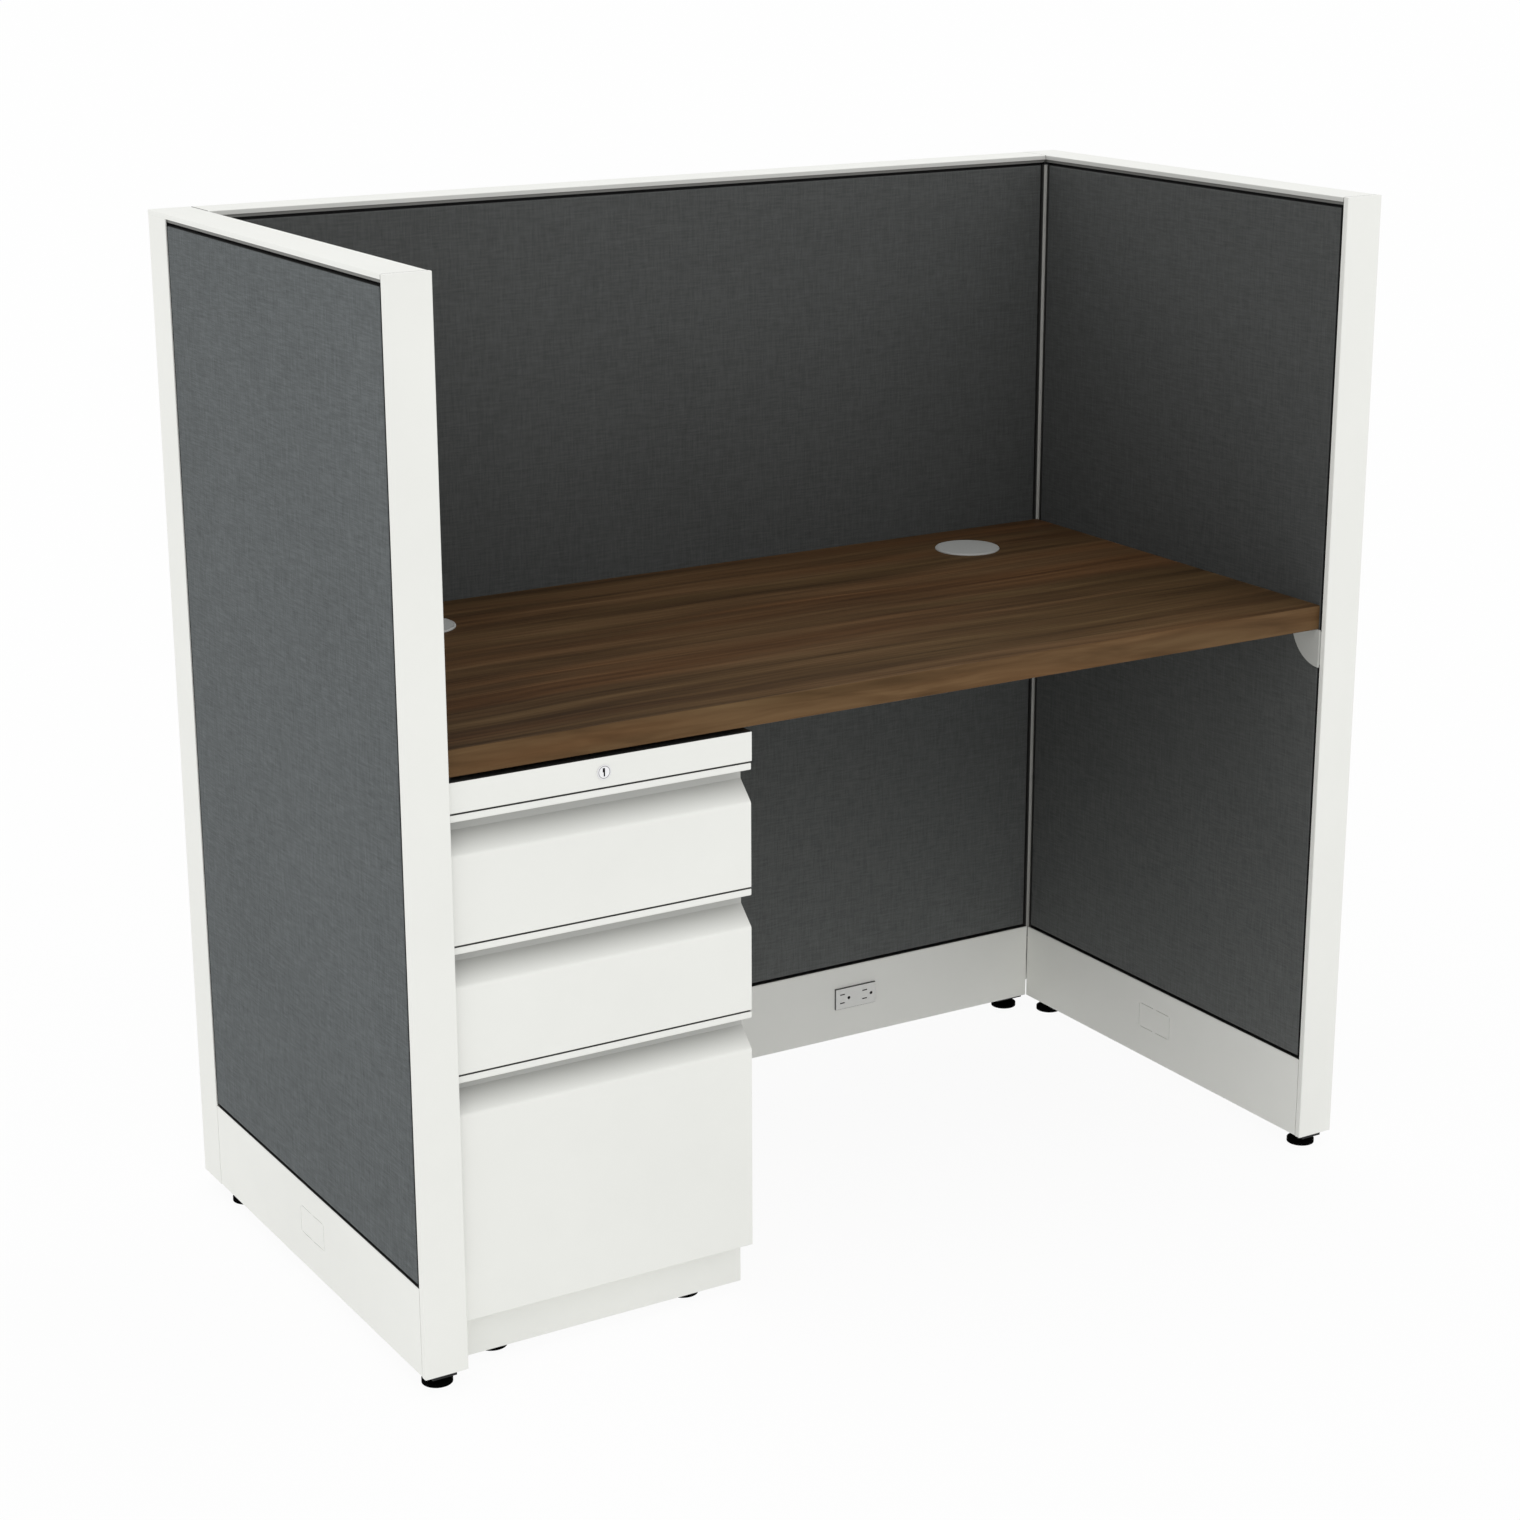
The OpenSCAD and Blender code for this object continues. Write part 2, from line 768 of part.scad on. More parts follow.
// Sleeve through the worksurface, whose flange has a recess for the cap
module grommet_sleeve() {
    difference() {
        union() {
            cylinder(d = flange_d, h = flange_h / 2);
            translate([0, 0, flange_h / 2])
                cylinder(d1 = flange_d, d2 = flange_d - flange_h, h = flange_h / 2);
            translate([0, 0, -sleeve_h]) cylinder(d = sleeve_d, h = sleeve_h + flange_h / 2);
        }
        translate([0, 0, -sleeve_h - cut])
            cylinder(d = sleeve_d - 2 * sleeve_wall, h = sleeve_h + flange_h + 2 * cut);
        translate([0, 0, flange_h - cap_t]) cylinder(d = cap_d + 2 * fit, h = cap_t + cut);
    }
}

module grommet_sleeves() {
    color(grey) for (p = grommets()) translate([p[0], p[1], desk_z]) grommet_sleeve();
}

// Cap of a cable hole: a flat disc that lies in the flange, with a step that centres it
module grommet_cap(p) {
    step_d = sleeve_d - 2 * sleeve_wall - 2 * fit;
    color(grey) translate([p[0], p[1], desk_z + flange_h - cap_t]) {
        cylinder(d = cap_d, h = cap_t);
        translate([0, 0, -cap_step_h]) cylinder(d = step_d, h = cap_step_h + cap_t / 2);
    }
}

module left_grommet_cap() {
    grommet_cap(grommets()[0]);
}

module right_grommet_cap() {
    grommet_cap(grommets()[1]);
}

// Desk bracket, drawn at its slot with the flanges towards +X: a hook tab that stands in the gap
// beside the tile, a bowed side flange on the fabric and a flange under the worksurface
module bracket_tooth() {
    lip_y = tube_wall + fit;
    translate([-bracket_t / 2, 0, 0]) cube([bracket_t, lip_y + bracket_t, hook_h]);
    translate([-bracket_t / 2, lip_y, -hook_lip]) cube([bracket_t, bracket_t, hook_lip + hook_h]);
}

module desk_bracket() {
    face_y = -wall_t / 2 - fit;
    x0 = -bracket_t / 2;
    translate([0, 0, desk_z0]) {
        translate([x0, face_y - bracket_t, -hook_tab_h])
            cube([bracket_t, tile_t + fit + bracket_t, hook_tab_h - bracket_t]);
        for (k = [0, 1]) translate([0, -frame_t / 2, -hook_drop - k * slot_pitch]) bracket_tooth();
        translate([0, face_y, 0]) rotate([90, 0, 0]) linear_extrude(height = bracket_t)
            intersection() {
                translate([slot_gap / 2 - bracket_bow, bracket_bow]) circle(r = bracket_r);
                translate([x0, -bracket_r]) square([2 * bracket_r, bracket_r]);
            }
        difference() {
            translate([flange_u0, face_y - bracket_flange, -bracket_t])
                cube([bracket_len, bracket_flange, bracket_t]);
            for (share = bracket_screw_shares)
                translate([flange_u0 + share * bracket_len, face_y - bracket_flange / 2,
                           -bracket_t - cut])
                    cylinder(d = screw_d + 2 * screw_fit, h = bracket_t + 2 * cut);
        }
    }
}

module desk_brackets() {
    color(off_white) both_sides() on_left_wall() {
        translate([front_slot_u, 0, 0]) desk_bracket();
        translate([side_run - end_slot_u, 0, 0]) mirror([1, 0, 0]) desk_bracket();
    }
}

// Screws that hold the worksurface to its brackets and to the pedestal
module desk_screw(p, seat_z) {
    translate([p[0], p[1], seat_z - screw_head_h]) {
        cylinder(d1 = screw_d, d2 = screw_head_d, h = screw_head_h / 2);
        translate([0, 0, screw_head_h / 2]) cylinder(d = screw_head_d, h = screw_head_h / 2);
        cylinder(d = screw_d, h = desk_z0 + screw_bite - seat_z + screw_head_h);
    }
}

module desk_screws() {
    color(zinc) {
        for (p = bracket_screws()) desk_screw(p, desk_z0 - bracket_t);
        for (p = pedestal_screws()) desk_screw(p, ped_top - case_wall);
    }
}

// Pedestal. Everything below is drawn from the left front corner of the fronts.
module along_lock(y, d, length) {
    translate([lock_x, y, lock_z]) rotate([-90, 0, 0]) cylinder(d = d, h = length);
}

module case_box() {
    inside = [ped_w - 2 * case_wall, case_back - front_d - case_wall,
              ped_top - toe_h - 2 * case_wall];
    difference() {
        translate([0, front_d, toe_h]) cube([ped_w, ped_d - front_d, ped_top - toe_h]);
        translate([case_wall, front_d + case_wall, toe_h + case_wall]) cube(inside);
        translate([case_wall, front_d - cut, toe_h + case_wall])
            cube([inside[0], case_wall + 2 * cut, fascia_z0 - toe_h - case_wall]);
        along_lock(front_d - cut, barrel_d + 2 * fit, case_wall + 2 * cut);
    }
}

// Channel on top of the case that carries the worksurface
module top_channel(y) {
    w = case_wall;
    translate([gusset / 2, y - channel_w / 2, ped_top]) along_x(ped_w - gusset)
        sheet_path([[w / 2, w / 2], [w / 2, ped_top_gap - w / 2],
                    [channel_w - w / 2, ped_top_gap - w / 2], [channel_w - w / 2, w / 2]], w);
}

module pedestal_case() {
    color(off_white) difference() {
        at_pedestal() {
            case_box();
            for (share = channel_shares) top_channel(channel_y(share) - desk_y0);
        }
        for (p = pedestal_screws()) translate([p[0], p[1], ped_top - case_wall - cut])
            cylinder(d = screw_d + 2 * screw_fit, h = ped_top_gap + case_wall + 2 * cut);
    }
}

module pedestal_fascia() {
    color(off_white) at_pedestal() difference() {
        union() {
            translate([0, 0, fascia_z0]) along_x(ped_w)
                c_section(fascia_h, front_d, front_wall, edge_r);
            for (x = [0, ped_w - front_wall]) translate([x, front_wall, fascia_z0 + front_wall])
                cube([front_wall, front_d - front_wall, fascia_h - 2 * front_wall]);
        }
        along_lock(-cut, barrel_d + 2 * fit, front_wall + 2 * cut);
    }
}

// Places of the pedestal's feet, seen from its left front corner
function ped_feet() = [
    [ped_foot_inset, ped_foot_inset], [ped_w - ped_foot_inset, ped_foot_inset],
    [ped_foot_inset, ped_d - ped_foot_inset], [ped_w - ped_foot_inset, ped_d - ped_foot_inset]
];

module plinth_frame() {
    size = [ped_w, ped_d - toe_setback, toe_h - plinth_z];
    translate([0, toe_setback, plinth_z]) difference() {
        cube(size);
        translate([case_wall, case_wall, -cut])
            cube([size[0] - 2 * case_wall, size[1] - 2 * case_wall, size[2] + 2 * cut]);
    }
}

// Cross bars between the plinth's sides that hold the threaded bosses of the feet
module plinth_bars() {
    for (y = [ped_foot_inset, ped_d - ped_foot_inset])
        translate([case_wall, y - gusset / 2, foot_z])
            cube([ped_w - 2 * case_wall, gusset, foot_plate]);
    for (p = ped_feet()) translate([p[0], p[1], foot_z]) cylinder(d = boss_d, h = boss_h);
}

module pedestal_plinth() {
    color(off_white) at_pedestal() {
        plinth_frame();
        difference() {
            plinth_bars();
            for (p = ped_feet()) translate([p[0], p[1], foot_z - cut])
                cylinder(d = stem_d + 2 * bore_play, h = boss_h + 2 * cut);
        }
    }
}

// Drawer slides: three nested members, drawn as outlines at the case's side, centred on Z
function rail_flange(level) = slide_h / 2 - level * (slide_wall + slide_play) - slide_wall / 2;
function rail_web(level) = level * (slide_wall + slide_play) + slide_wall / 2;
function rail_reach(level) = slide_d - level * (slide_wall + slide_play) - slide_wall / 2;
function lipped_path(level, lip) = [
    [rail_reach(level), rail_flange(level) - lip], [rail_reach(level), rail_flange(level)],
    [rail_web(level), rail_flange(level)], [rail_web(level), -rail_flange(level)],
    [rail_reach(level), -rail_flange(level)], [rail_reach(level), -rail_flange(level) + lip]
];

module outer_rail_outline() {
    sheet_path(lipped_path(0, rail_lip), slide_wall);
}

module link_outline() {
    sheet_path(lipped_path(1, rail_lip + slide_wall), slide_wall);
}

module runner_outline() {
    z = rail_flange(2);
    neck_z = rail_flange(1) - rail_lip - 2 * slide_wall - slide_play - slide_wall / 2;
    far_x = slide_w - slide_wall / 2;
    reach = rail_reach(2);
    sheet_path([[reach, z], [rail_web(2), z], [rail_web(2), neck_z], [far_x, neck_z],
                [far_x, -neck_z], [rail_web(2), -neck_z], [rail_web(2), -z], [reach, -z]],
               slide_wall);
}

// A slide member on each side of the drawer whose tray starts at height tray_z
module slide_pair(tray_z) {
    at_pedestal() for (side = [0, 1])
        translate([side * ped_w, 0, 0]) mirror([side, 0, 0])
            translate([case_wall, rail_y0, tray_z + slide_rise]) along_y(rail_len) children();
}

module slide_rails() {
    color(zinc) for (z = [upper_z0, middle_z0, file_z0]) slide_pair(z + tray_rise)
        outer_rail_outline();
}

module links(front_z) {
    color(zinc) slide_pair(front_z + tray_rise) link_outline();
}

module runners(front_z) {
    color(zinc) slide_pair(front_z + tray_rise) runner_outline();
}

// Drawer front: a hollow pan with a finger pull under a rounded lip along its whole width
module front_outline(h) {
    slope = atan2(pull_end - pull_top, pull_d);
    tangent = face_r * tan((90 - slope) / 2);
    face_z = h - pull_end - tangent;
    lip_z = h - lip_h;
    bend = [tangent * cos(slope), h - pull_end + tangent * sin(slope)];
    difference() {
        polygon([[0, 0], [0, h - pull_end], [pull_d, h - pull_top], [pull_d, lip_z], [0, lip_z],
                 [0, h], [front_back, h], [front_back, 0]]);
        corner_cut(edge_r);
        translate([0, lip_z]) corner_cut(lip_r);
        translate([0, h]) mirror([0, 1]) corner_cut(edge_r);
        difference() {
            polygon([[-cut, face_z], [face_r, face_z], bend, [-cut, bend[1]]]);
            translate([face_r, face_z]) circle(r = face_r);
        }
    }
}

module front_hollow(h) {
    t = front_wall;
    rise = (pull_end - pull_top) / pull_d;
    drop = t * sqrt(1 + rise * rise);
    back = front_back + cut;
    slope_z = h - pull_end - drop;
    translate([t, h - lip_h + t]) square([back - t, lip_h - 2 * t]);
    polygon([[t, t], [t, slope_z + rise * t], [front_back - t, slope_z + rise * (front_back - t)],
             [front_back - t, t]]);
    translate([t, t]) square([back - t, h - pull_end - 2 * t]);
}

module drawer_front(front_z, h) {
    color(off_white) at_pedestal() translate([front_inset, 0, front_z]) difference() {
        along_x(front_w) front_outline(h);
        translate([front_wall, 0, 0]) along_x(front_w - 2 * front_wall) front_hollow(h);
    }
}

// Catch on a tray's back: a bent strip, riveted on, whose lip the lock bar's finger drops behind
module tray_catch(tray_z, h) {
    foot_y = front_back + tray_d + weld_gap + catch_t / 2;
    lip_y = bar_y0 - catch_gap - catch_t / 2;
    z = tray_z + catch_share * h + catch_t / 2;
    path = [[foot_y, z - catch_foot_h], [foot_y, z], [lip_y, z], [lip_y, z + catch_lip]];
    translate([bar_x0, 0, 0]) along_x(bar_x1 - bar_x0) sheet_path(path, catch_t);
}

module tray_body(tray_z, h) {
    t = tray_wall;
    hem = t + hem_w;
    difference() {
        translate([tray_x0, front_back, tray_z]) cube([tray_w, tray_d, h]);
        translate([tray_x0 + t, front_back + t, tray_z + t])
            cube([tray_w - 2 * t, tray_d - 2 * t, h - t - hem_h]);
        translate([tray_x0 + hem, front_back + hem, tray_z + h - hem_h - cut])
            cube([tray_w - 2 * hem, tray_d - 2 * hem, hem_h + 2 * cut]);
    }
    tray_catch(tray_z, h);
}

module tray(front_z, front_h, drop) {
    color(grey) at_pedestal() tray_body(front_z + tray_rise, front_h - tray_rise - drop);
}

// Bars over the file tray that carry hanging folders
module folder_bars() {
    top_z = file_z0 + file_front_h - file_drop;
    for (x = [tray_x0 + file_bar_inset, tray_x0 + tray_w - file_bar_inset - file_bar_w])
        translate([x, front_back, top_z]) cube([file_bar_w, tray_d, file_bar_h]);
}

module upper_front() {
    drawer_front(upper_z0, box_front_h);
}

module upper_tray() {
    tray(upper_z0, box_front_h, box_drop);
}

module upper_runners() {
    runners(upper_z0);
}

module upper_links() {
    links(upper_z0);
}

module middle_front() {
    drawer_front(middle_z0, box_front_h);
}

module middle_tray() {
    tray(middle_z0, box_front_h, box_drop);
}

module middle_runners() {
    runners(middle_z0);
}

module middle_links() {
    links(middle_z0);
}

module file_front() {
    drawer_front(file_z0, file_front_h);
}

module file_tray() {
    tray(file_z0, file_front_h, file_drop);
    color(grey) at_pedestal() folder_bars();
}

module file_runners() {
    runners(file_z0);
}

module file_links() {
    links(file_z0);
}

// Lock: a barrel through the fascia with a nut behind it, and a plug whose shaft ends in a crank
module lock_housing() {
    color(zinc) at_pedestal() difference() {
        union() {
            along_lock(-bezel_t, lock_d, bezel_t);
            along_lock(0, barrel_d, barrel_l);
            translate([lock_x, front_d + case_wall, lock_z]) rotate([-90, 0, 0])
                cylinder(d = lock_nut_d, h = lock_nut_h, $fn = 6);
        }
        along_lock(-bezel_t - cut, plug_d + 2 * bore_play, barrel_l + bezel_t + 2 * cut);
    }
}

module keyway_outline() {
    keyhole_w = plug_d / 5;
    slot_t = plug_d / 8;
    translate([-keyhole_w * 2 / 3, 0]) square([keyhole_w, plug_d / 3]);
    translate([-slot_t / 2, -plug_d / 3]) square([slot_t, plug_d / 2]);
}

module crank() {
    arm_y = bar_y0 - arm_gap - arm_t;
    translate([lock_x, arm_y, lock_z]) rotate([0, -crank_angle, 0]) {
        rotate([-90, 0, 0]) cylinder(d = shaft_d + 2 * arm_t, h = arm_t);
        translate([0, 0, -pin_d]) cube([crank_r, arm_t, 2 * pin_d]);
        translate([crank_r, 0, 0]) rotate([-90, 0, 0]) {
            cylinder(d = 2 * pin_d, h = arm_t);
            cylinder(d = pin_d, h = arm_t + arm_gap + bar_t + arm_gap / 2);
        }
    }
}

module lock_plug() {
    color(zinc) at_pedestal() {
        difference() {
            along_lock(-bezel_t, plug_d, barrel_l + bezel_t);
            translate([lock_x, -bezel_t - cut, lock_z]) along_y(key_depth + cut) keyway_outline();
        }
        along_lock(barrel_l, shaft_d, bar_y0 - arm_gap - barrel_l);
        crank();
    }
}

// Height of a tray's catch, from its front's lower edge, height and drop
function catch_z(front_z, h, drop) = front_z + tray_rise + catch_share * (h - tray_rise - drop);
function catches() = [
    catch_z(upper_z0, box_front_h, box_drop), catch_z(middle_z0, box_front_h, box_drop),
    catch_z(file_z0, file_front_h, file_drop)
];

// Finger on the lock bar: a bent strip, riveted on, whose tip is just over the lip of the catch at
// height z while the drawers are free
module bar_finger(z) {
    tip_y = bar_y0 - catch_gap - catch_t - tooth_gap - finger_t / 2;
    tip_z = z + catch_t + catch_lip + tooth_clear + finger_t / 2;
    foot_y = bar_y0 - weld_gap - finger_t / 2;
    arm_z = tip_z + catch_lip;
    path = [[tip_y, tip_z], [tip_y, arm_z], [foot_y, arm_z], [foot_y, arm_z + finger_foot_h]];
    translate([bar_x0, 0, 0]) along_x(bar_x1 - bar_x0) sheet_path(path, finger_t);
}

module lock_bar() {
    pin_x = crank_r * cos(crank_angle);
    pin_z = lock_z + crank_r * sin(crank_angle);
    z0 = catches()[2];
    slot = [crank_r - pin_x + pin_d + 2 * pin_play, bar_t + 2 * cut, pin_d + 2 * pin_play];
    color(zinc) at_pedestal() {
        difference() {
            translate([bar_x0, bar_y0, z0])
                cube([bar_x1 - bar_x0, bar_t, pin_z + slot[2] / 2 + bar_rim - z0]);
            translate([bar_x0 + bar_rim, bar_y0 - cut, pin_z - slot[2] / 2]) cube(slot);
        }
        for (z = catches()) bar_finger(z);
    }
}

// Keepers that guide the lock bar on the case's back, and the bearing of the lock's shaft
module keeper(z) {
    x0 = bar_x0 - fit - keeper_t;
    y0 = bar_y0 - fit - keeper_t;
    translate([x0, y0, z]) linear_extrude(height = keeper_h) difference() {
        square([bar_x1 - bar_x0 + 2 * (fit + keeper_t), case_back - y0]);
        translate([keeper_t, keeper_t])
            square([bar_x1 - bar_x0 + 2 * fit, case_back - y0]);
    }
}

module shaft_bearing() {
    y0 = bar_y0 - arm_gap - 2 * arm_t - bearing_h;
    top_z = ped_top - case_wall;
    difference() {
        translate([lock_x - bearing_w / 2, y0, lock_z - bearing_h])
            cube([bearing_w, arm_t, top_z - lock_z + bearing_h]);
        along_lock(y0 - cut, shaft_d + 2 * bore_play, arm_t + 2 * cut);
    }
    translate([lock_x - bearing_w / 2, y0, top_z - arm_t]) cube([bearing_w, bearing_h, arm_t]);
}

module lock_guides() {
    color(zinc) at_pedestal() {
        shaft_bearing();
        for (z = [catches()[0], catches()[2] + (catches()[1] - catches()[2]) / 2])
            keeper(z - 2 * keeper_h);
    }
}

// Levelling glides
module glide() {
    rim = glide_h / 2;
    neck_d = (glide_d + stem_d) / 2;
    nut_h = foot_z - glide_h - nut_gap;
    cylinder(d = glide_d, h = rim);
    translate([0, 0, rim]) cylinder(d1 = glide_d, d2 = neck_d, h = glide_h - rim);
    translate([0, 0, glide_h]) cylinder(d = boss_d, h = nut_h, $fn = 6);
    cylinder(d = stem_d, h = glide_len);
}

module wall_glide(u) {
    color(black) translate([u, 0, 0]) glide();
}

module ped_glide(i) {
    color(black) at_pedestal() translate([ped_feet()[i][0], ped_feet()[i][1], 0]) glide();
}

module left_front_glide() {
    on_left_wall() wall_glide(frame_u0 + upright_d / 2);
}

module left_rear_glide() {
    on_left_wall() wall_glide(side_run - upright_d / 2);
}

module right_front_glide() {
    on_right_wall() wall_glide(frame_u0 + upright_d / 2);
}

module right_rear_glide() {
    on_right_wall() wall_glide(side_run - upright_d / 2);
}

module back_left_glide() {
    on_back_wall() wall_glide(upright_d / 2);
}

module back_right_glide() {
    on_back_wall() wall_glide(back_run - upright_d / 2);
}

module pedestal_left_front_glide() {
    ped_glide(0);
}

module pedestal_right_front_glide() {
    ped_glide(1);
}

module pedestal_left_rear_glide() {
    ped_glide(2);
}

module pedestal_right_rear_glide() {
    ped_glide(3);
}

left_wall_frame();
right_wall_frame();
back_wall_frame();
left_inner_tile();
left_outer_tile();
right_inner_tile();
right_outer_tile();
back_inner_tile();
back_outer_tile();
left_top_cap();
right_top_cap();
back_top_cap();
end_trims();
corner_posts();
corner_trims();
inner_corner_trims();
left_inner_cover();
left_outer_cover();
right_inner_cover();
right_outer_cover();
back_inner_cover();
back_outer_cover();
power_block();
outlet();
worksurface();
grommet_sleeves();
desk_brackets();
desk_screws();
pedestal_case();
pedestal_fascia();
pedestal_plinth();
slide_rails();
lock_housing();
lock_guides();
lock_plug();
lock_bar();
upper_front();
upper_tray();
upper_runners();
upper_links();
middle_front();
middle_tray();
middle_runners();
middle_links();
file_front();
file_tray();
file_runners();
file_links();
left_grommet_cap();
right_grommet_cap();
left_front_glide();
left_rear_glide();
right_front_glide();
right_rear_glide();
back_left_glide();
back_right_glide();
pedestal_left_front_glide();
pedestal_right_front_glide();
pedestal_left_rear_glide();
pedestal_right_rear_glide();
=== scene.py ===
# %% [markdown]
# A single-seat cubicle workstation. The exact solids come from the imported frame: three panel walls,
# a worksurface on slotted brackets and a drawer pedestal. What is left to do here is what a CAD
# solid lacks: paint, woven fabric, wood grain, and the small parts that are too fine for it.
# Everything is in metres, +X to the sitter's right, +Y to the back wall, +Z up.

# %% Load the frame
import json
import math

import bmesh
import bpy
from mathutils import Matrix, Vector


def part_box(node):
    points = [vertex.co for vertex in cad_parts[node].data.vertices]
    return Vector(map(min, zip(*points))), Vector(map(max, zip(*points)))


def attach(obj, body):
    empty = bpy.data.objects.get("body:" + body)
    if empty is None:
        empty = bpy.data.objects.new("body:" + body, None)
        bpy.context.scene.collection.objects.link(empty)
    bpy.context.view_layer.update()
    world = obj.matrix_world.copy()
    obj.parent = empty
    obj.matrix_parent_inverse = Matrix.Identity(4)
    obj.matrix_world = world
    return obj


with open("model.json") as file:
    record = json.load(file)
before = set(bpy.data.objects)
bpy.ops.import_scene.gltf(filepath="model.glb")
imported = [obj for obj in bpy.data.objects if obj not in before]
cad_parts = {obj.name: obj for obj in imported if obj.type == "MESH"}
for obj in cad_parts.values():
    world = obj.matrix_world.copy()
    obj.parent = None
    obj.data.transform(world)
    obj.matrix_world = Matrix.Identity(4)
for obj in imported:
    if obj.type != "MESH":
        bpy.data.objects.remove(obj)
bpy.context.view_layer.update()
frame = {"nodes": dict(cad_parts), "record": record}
nodes = frame["nodes"]

# %% [markdown]
# The camera stands at the photograph's viewpoint: in front of the open side, to the left, a little
# above the caps. Its place and angles were solved from the corners of the walls and of the
# worksurface, with the middle of the picture as the optical centre, so that no lens shift is needed.

# %% Camera
PICTURE = 1520
FOCAL_PIXELS = 3050.8
FILM_WIDTH = 36.0
FAR_LIMIT = 200.0
CAMERA_PLACE = Vector((-1.9384, -3.1701, 1.6804))
TURN, DIP, ROLL = (math.radians(a) for a in (31.155, 16.819, -0.154))


def add_camera():
    camera = bpy.data.cameras.new("camera")
    camera.sensor_width = FILM_WIDTH
    camera.lens = FILM_WIDTH * FOCAL_PIXELS / PICTURE
    camera.clip_end = FAR_LIMIT
    holder = bpy.data.objects.new("camera", camera)
    bpy.context.scene.collection.objects.link(holder)
    holder.matrix_world = (Matrix.Translation(CAMERA_PLACE) @ Matrix.Rotation(-TURN, 4, "Z")
                           @ Matrix.Rotation(math.pi / 2 - DIP, 4, "X")
                           @ Matrix.Rotation(ROLL, 4, "Z"))
    bpy.context.scene.camera = holder
    return camera.lens


print("lens", round(add_camera(), 2), "mm")

# %% [markdown]
# Materials are node graphs, and most of their nodes are arithmetic. To keep that readable, one small
# class wraps a socket, so that an ordinary expression such as 1 - mask * 0.3 adds the Math nodes for
# it. Masks are made the same way: above and below turn a place into 1 on one side of an edge and 0
# on the other.

# %% Shader arithmetic
SHARP = 0.0001


class Wire:
    """A number that varies over the surface: an output socket in a material's node tree."""

    def __init__(self, tree, socket):
        self.tree = tree
        self.socket = socket

    def math(self, operation, *values):
        node = self.tree.nodes.new("ShaderNodeMath")
        node.operation = operation
        for slot, value in zip(node.inputs, values):
            connect(self.tree, slot, value)
        return Wire(self.tree, node.outputs[0])

    def __add__(self, other):
        return self.math("ADD", self, other)

    def __sub__(self, other):
        return self.math("SUBTRACT", self, other)

    def __rsub__(self, other):
        return self.math("SUBTRACT", other, self)

    def __mul__(self, other):
        return self.math("MULTIPLY", self, other)

    def __truediv__(self, other):
        return self.math("DIVIDE", self, other)

    def __abs__(self):
        return self.math("ABSOLUTE", self)

    def __pow__(self, power):
        return self.math("POWER", self, power)

    def above(self, edge, soft=SHARP):
        """1 where the value is over the edge, 0 where it is under it, and a soft step between."""
        step = (self - edge) / soft + 0.5
        low = step.math("MAXIMUM", step, 0.0)
        return low.math("MINIMUM", low, 1.0)

    def below(self, edge, soft=SHARP):
        return 1 - self.above(edge, soft)

    def beside(self, name):
        """Another output of the same node."""
        return Wire(self.tree, self.socket.node.outputs[name])

    __radd__ = __add__
    __rmul__ = __mul__


def connect(tree, slot, value):
    if isinstance(value, Wire):
        tree.links.new(value.socket, slot)
    elif isinstance(value, tuple) and slot.type == "RGBA" and len(value) == 3:
        slot.default_value = (*value, 1.0)
    else:
        slot.default_value = value


print("a mask's sharpest edge is", SHARP * 1000, "mm wide")

# %% [markdown]
# Every node that isn't arithmetic comes from one method. It takes the node's type, its settings, and
# the values or links of its sockets, by name or, where names repeat, by number, such as i1.

# %% Finish: one material and its nodes
class Finish:
    """A material built around one Principled shader."""

    def __init__(self, name, **shader):
        self.material = bpy.data.materials.new(name)
        self.material.use_nodes = True
        self.tree = self.material.node_tree
        self.shader = self.tree.nodes["Principled BSDF"]
        self.paint(**shader)

    def paint(self, **inputs):
        for name, value in inputs.items():
            connect(self.tree, self.shader.inputs[name.replace("_", " ")], value)

    def add(self, kind, out=0, settings=(), **inputs):
        node = self.tree.nodes.new("ShaderNode" + kind)
        for name, value in dict(settings).items():
            if name == "stops":
                ramp = node.color_ramp
                while len(ramp.elements) < len(value):
                    ramp.elements.new(0.5)
                for stop, (place, colour) in zip(ramp.elements, value):
                    stop.position = place
                    stop.color = (*colour, 1.0)
            else:
                setattr(node, name, value)
        for name, value in inputs.items():
            key = int(name[1:]) if name[1:].isdigit() else name.replace("_", " ")
            connect(self.tree, node.inputs[key], value)
        return Wire(self.tree, node.outputs[out])

    def noise(self, scale, detail=2.0, roughness=0.5, stretch=(1.0, 1.0, 1.0)):
        spot = self.add("Mapping", Vector=self.add("TexCoord", out="Object"), Scale=stretch)
        return self.add("TexNoise", out="Fac", Vector=spot, Scale=scale, Detail=detail,
                        Roughness=roughness)

    def mix(self, share, first, second, blend="MIX"):
        return self.add("Mix", out=2, settings={"data_type": "RGBA", "blend_type": blend},
                        i0=share, i6=first, i7=second)

    def relief(self, height, depth, strength=1.0):
        self.paint(Normal=self.add("Bump", Height=height, Distance=depth, Strength=strength))

    def split(self):
        x = self.add("SeparateXYZ", out="X", Vector=self.add("TexCoord", out="Object"))
        return x, x.beside("Y"), x.beside("Z")


print("materials that came with the frame:", len(bpy.data.materials))

# %% [markdown]
# Powder coat covers every sheet-metal part: caps, trims, raceway covers and the pedestal. The dry
# powder melts into a skin with a fine orange peel, and large pieces show very faint clouds where the
# film is a little thicker. Both come from noise: a fine one for the relief, a broad one for the tone.
# Some parts get painted shade on one side, which a mask on the surface's own place picks out.

# %% Powder coat
# The colour of painted shade in gaps and under other parts.
PAINTED_SHADE = (0.028, 0.028, 0.027)
ORANGE_PEEL = 0.00004


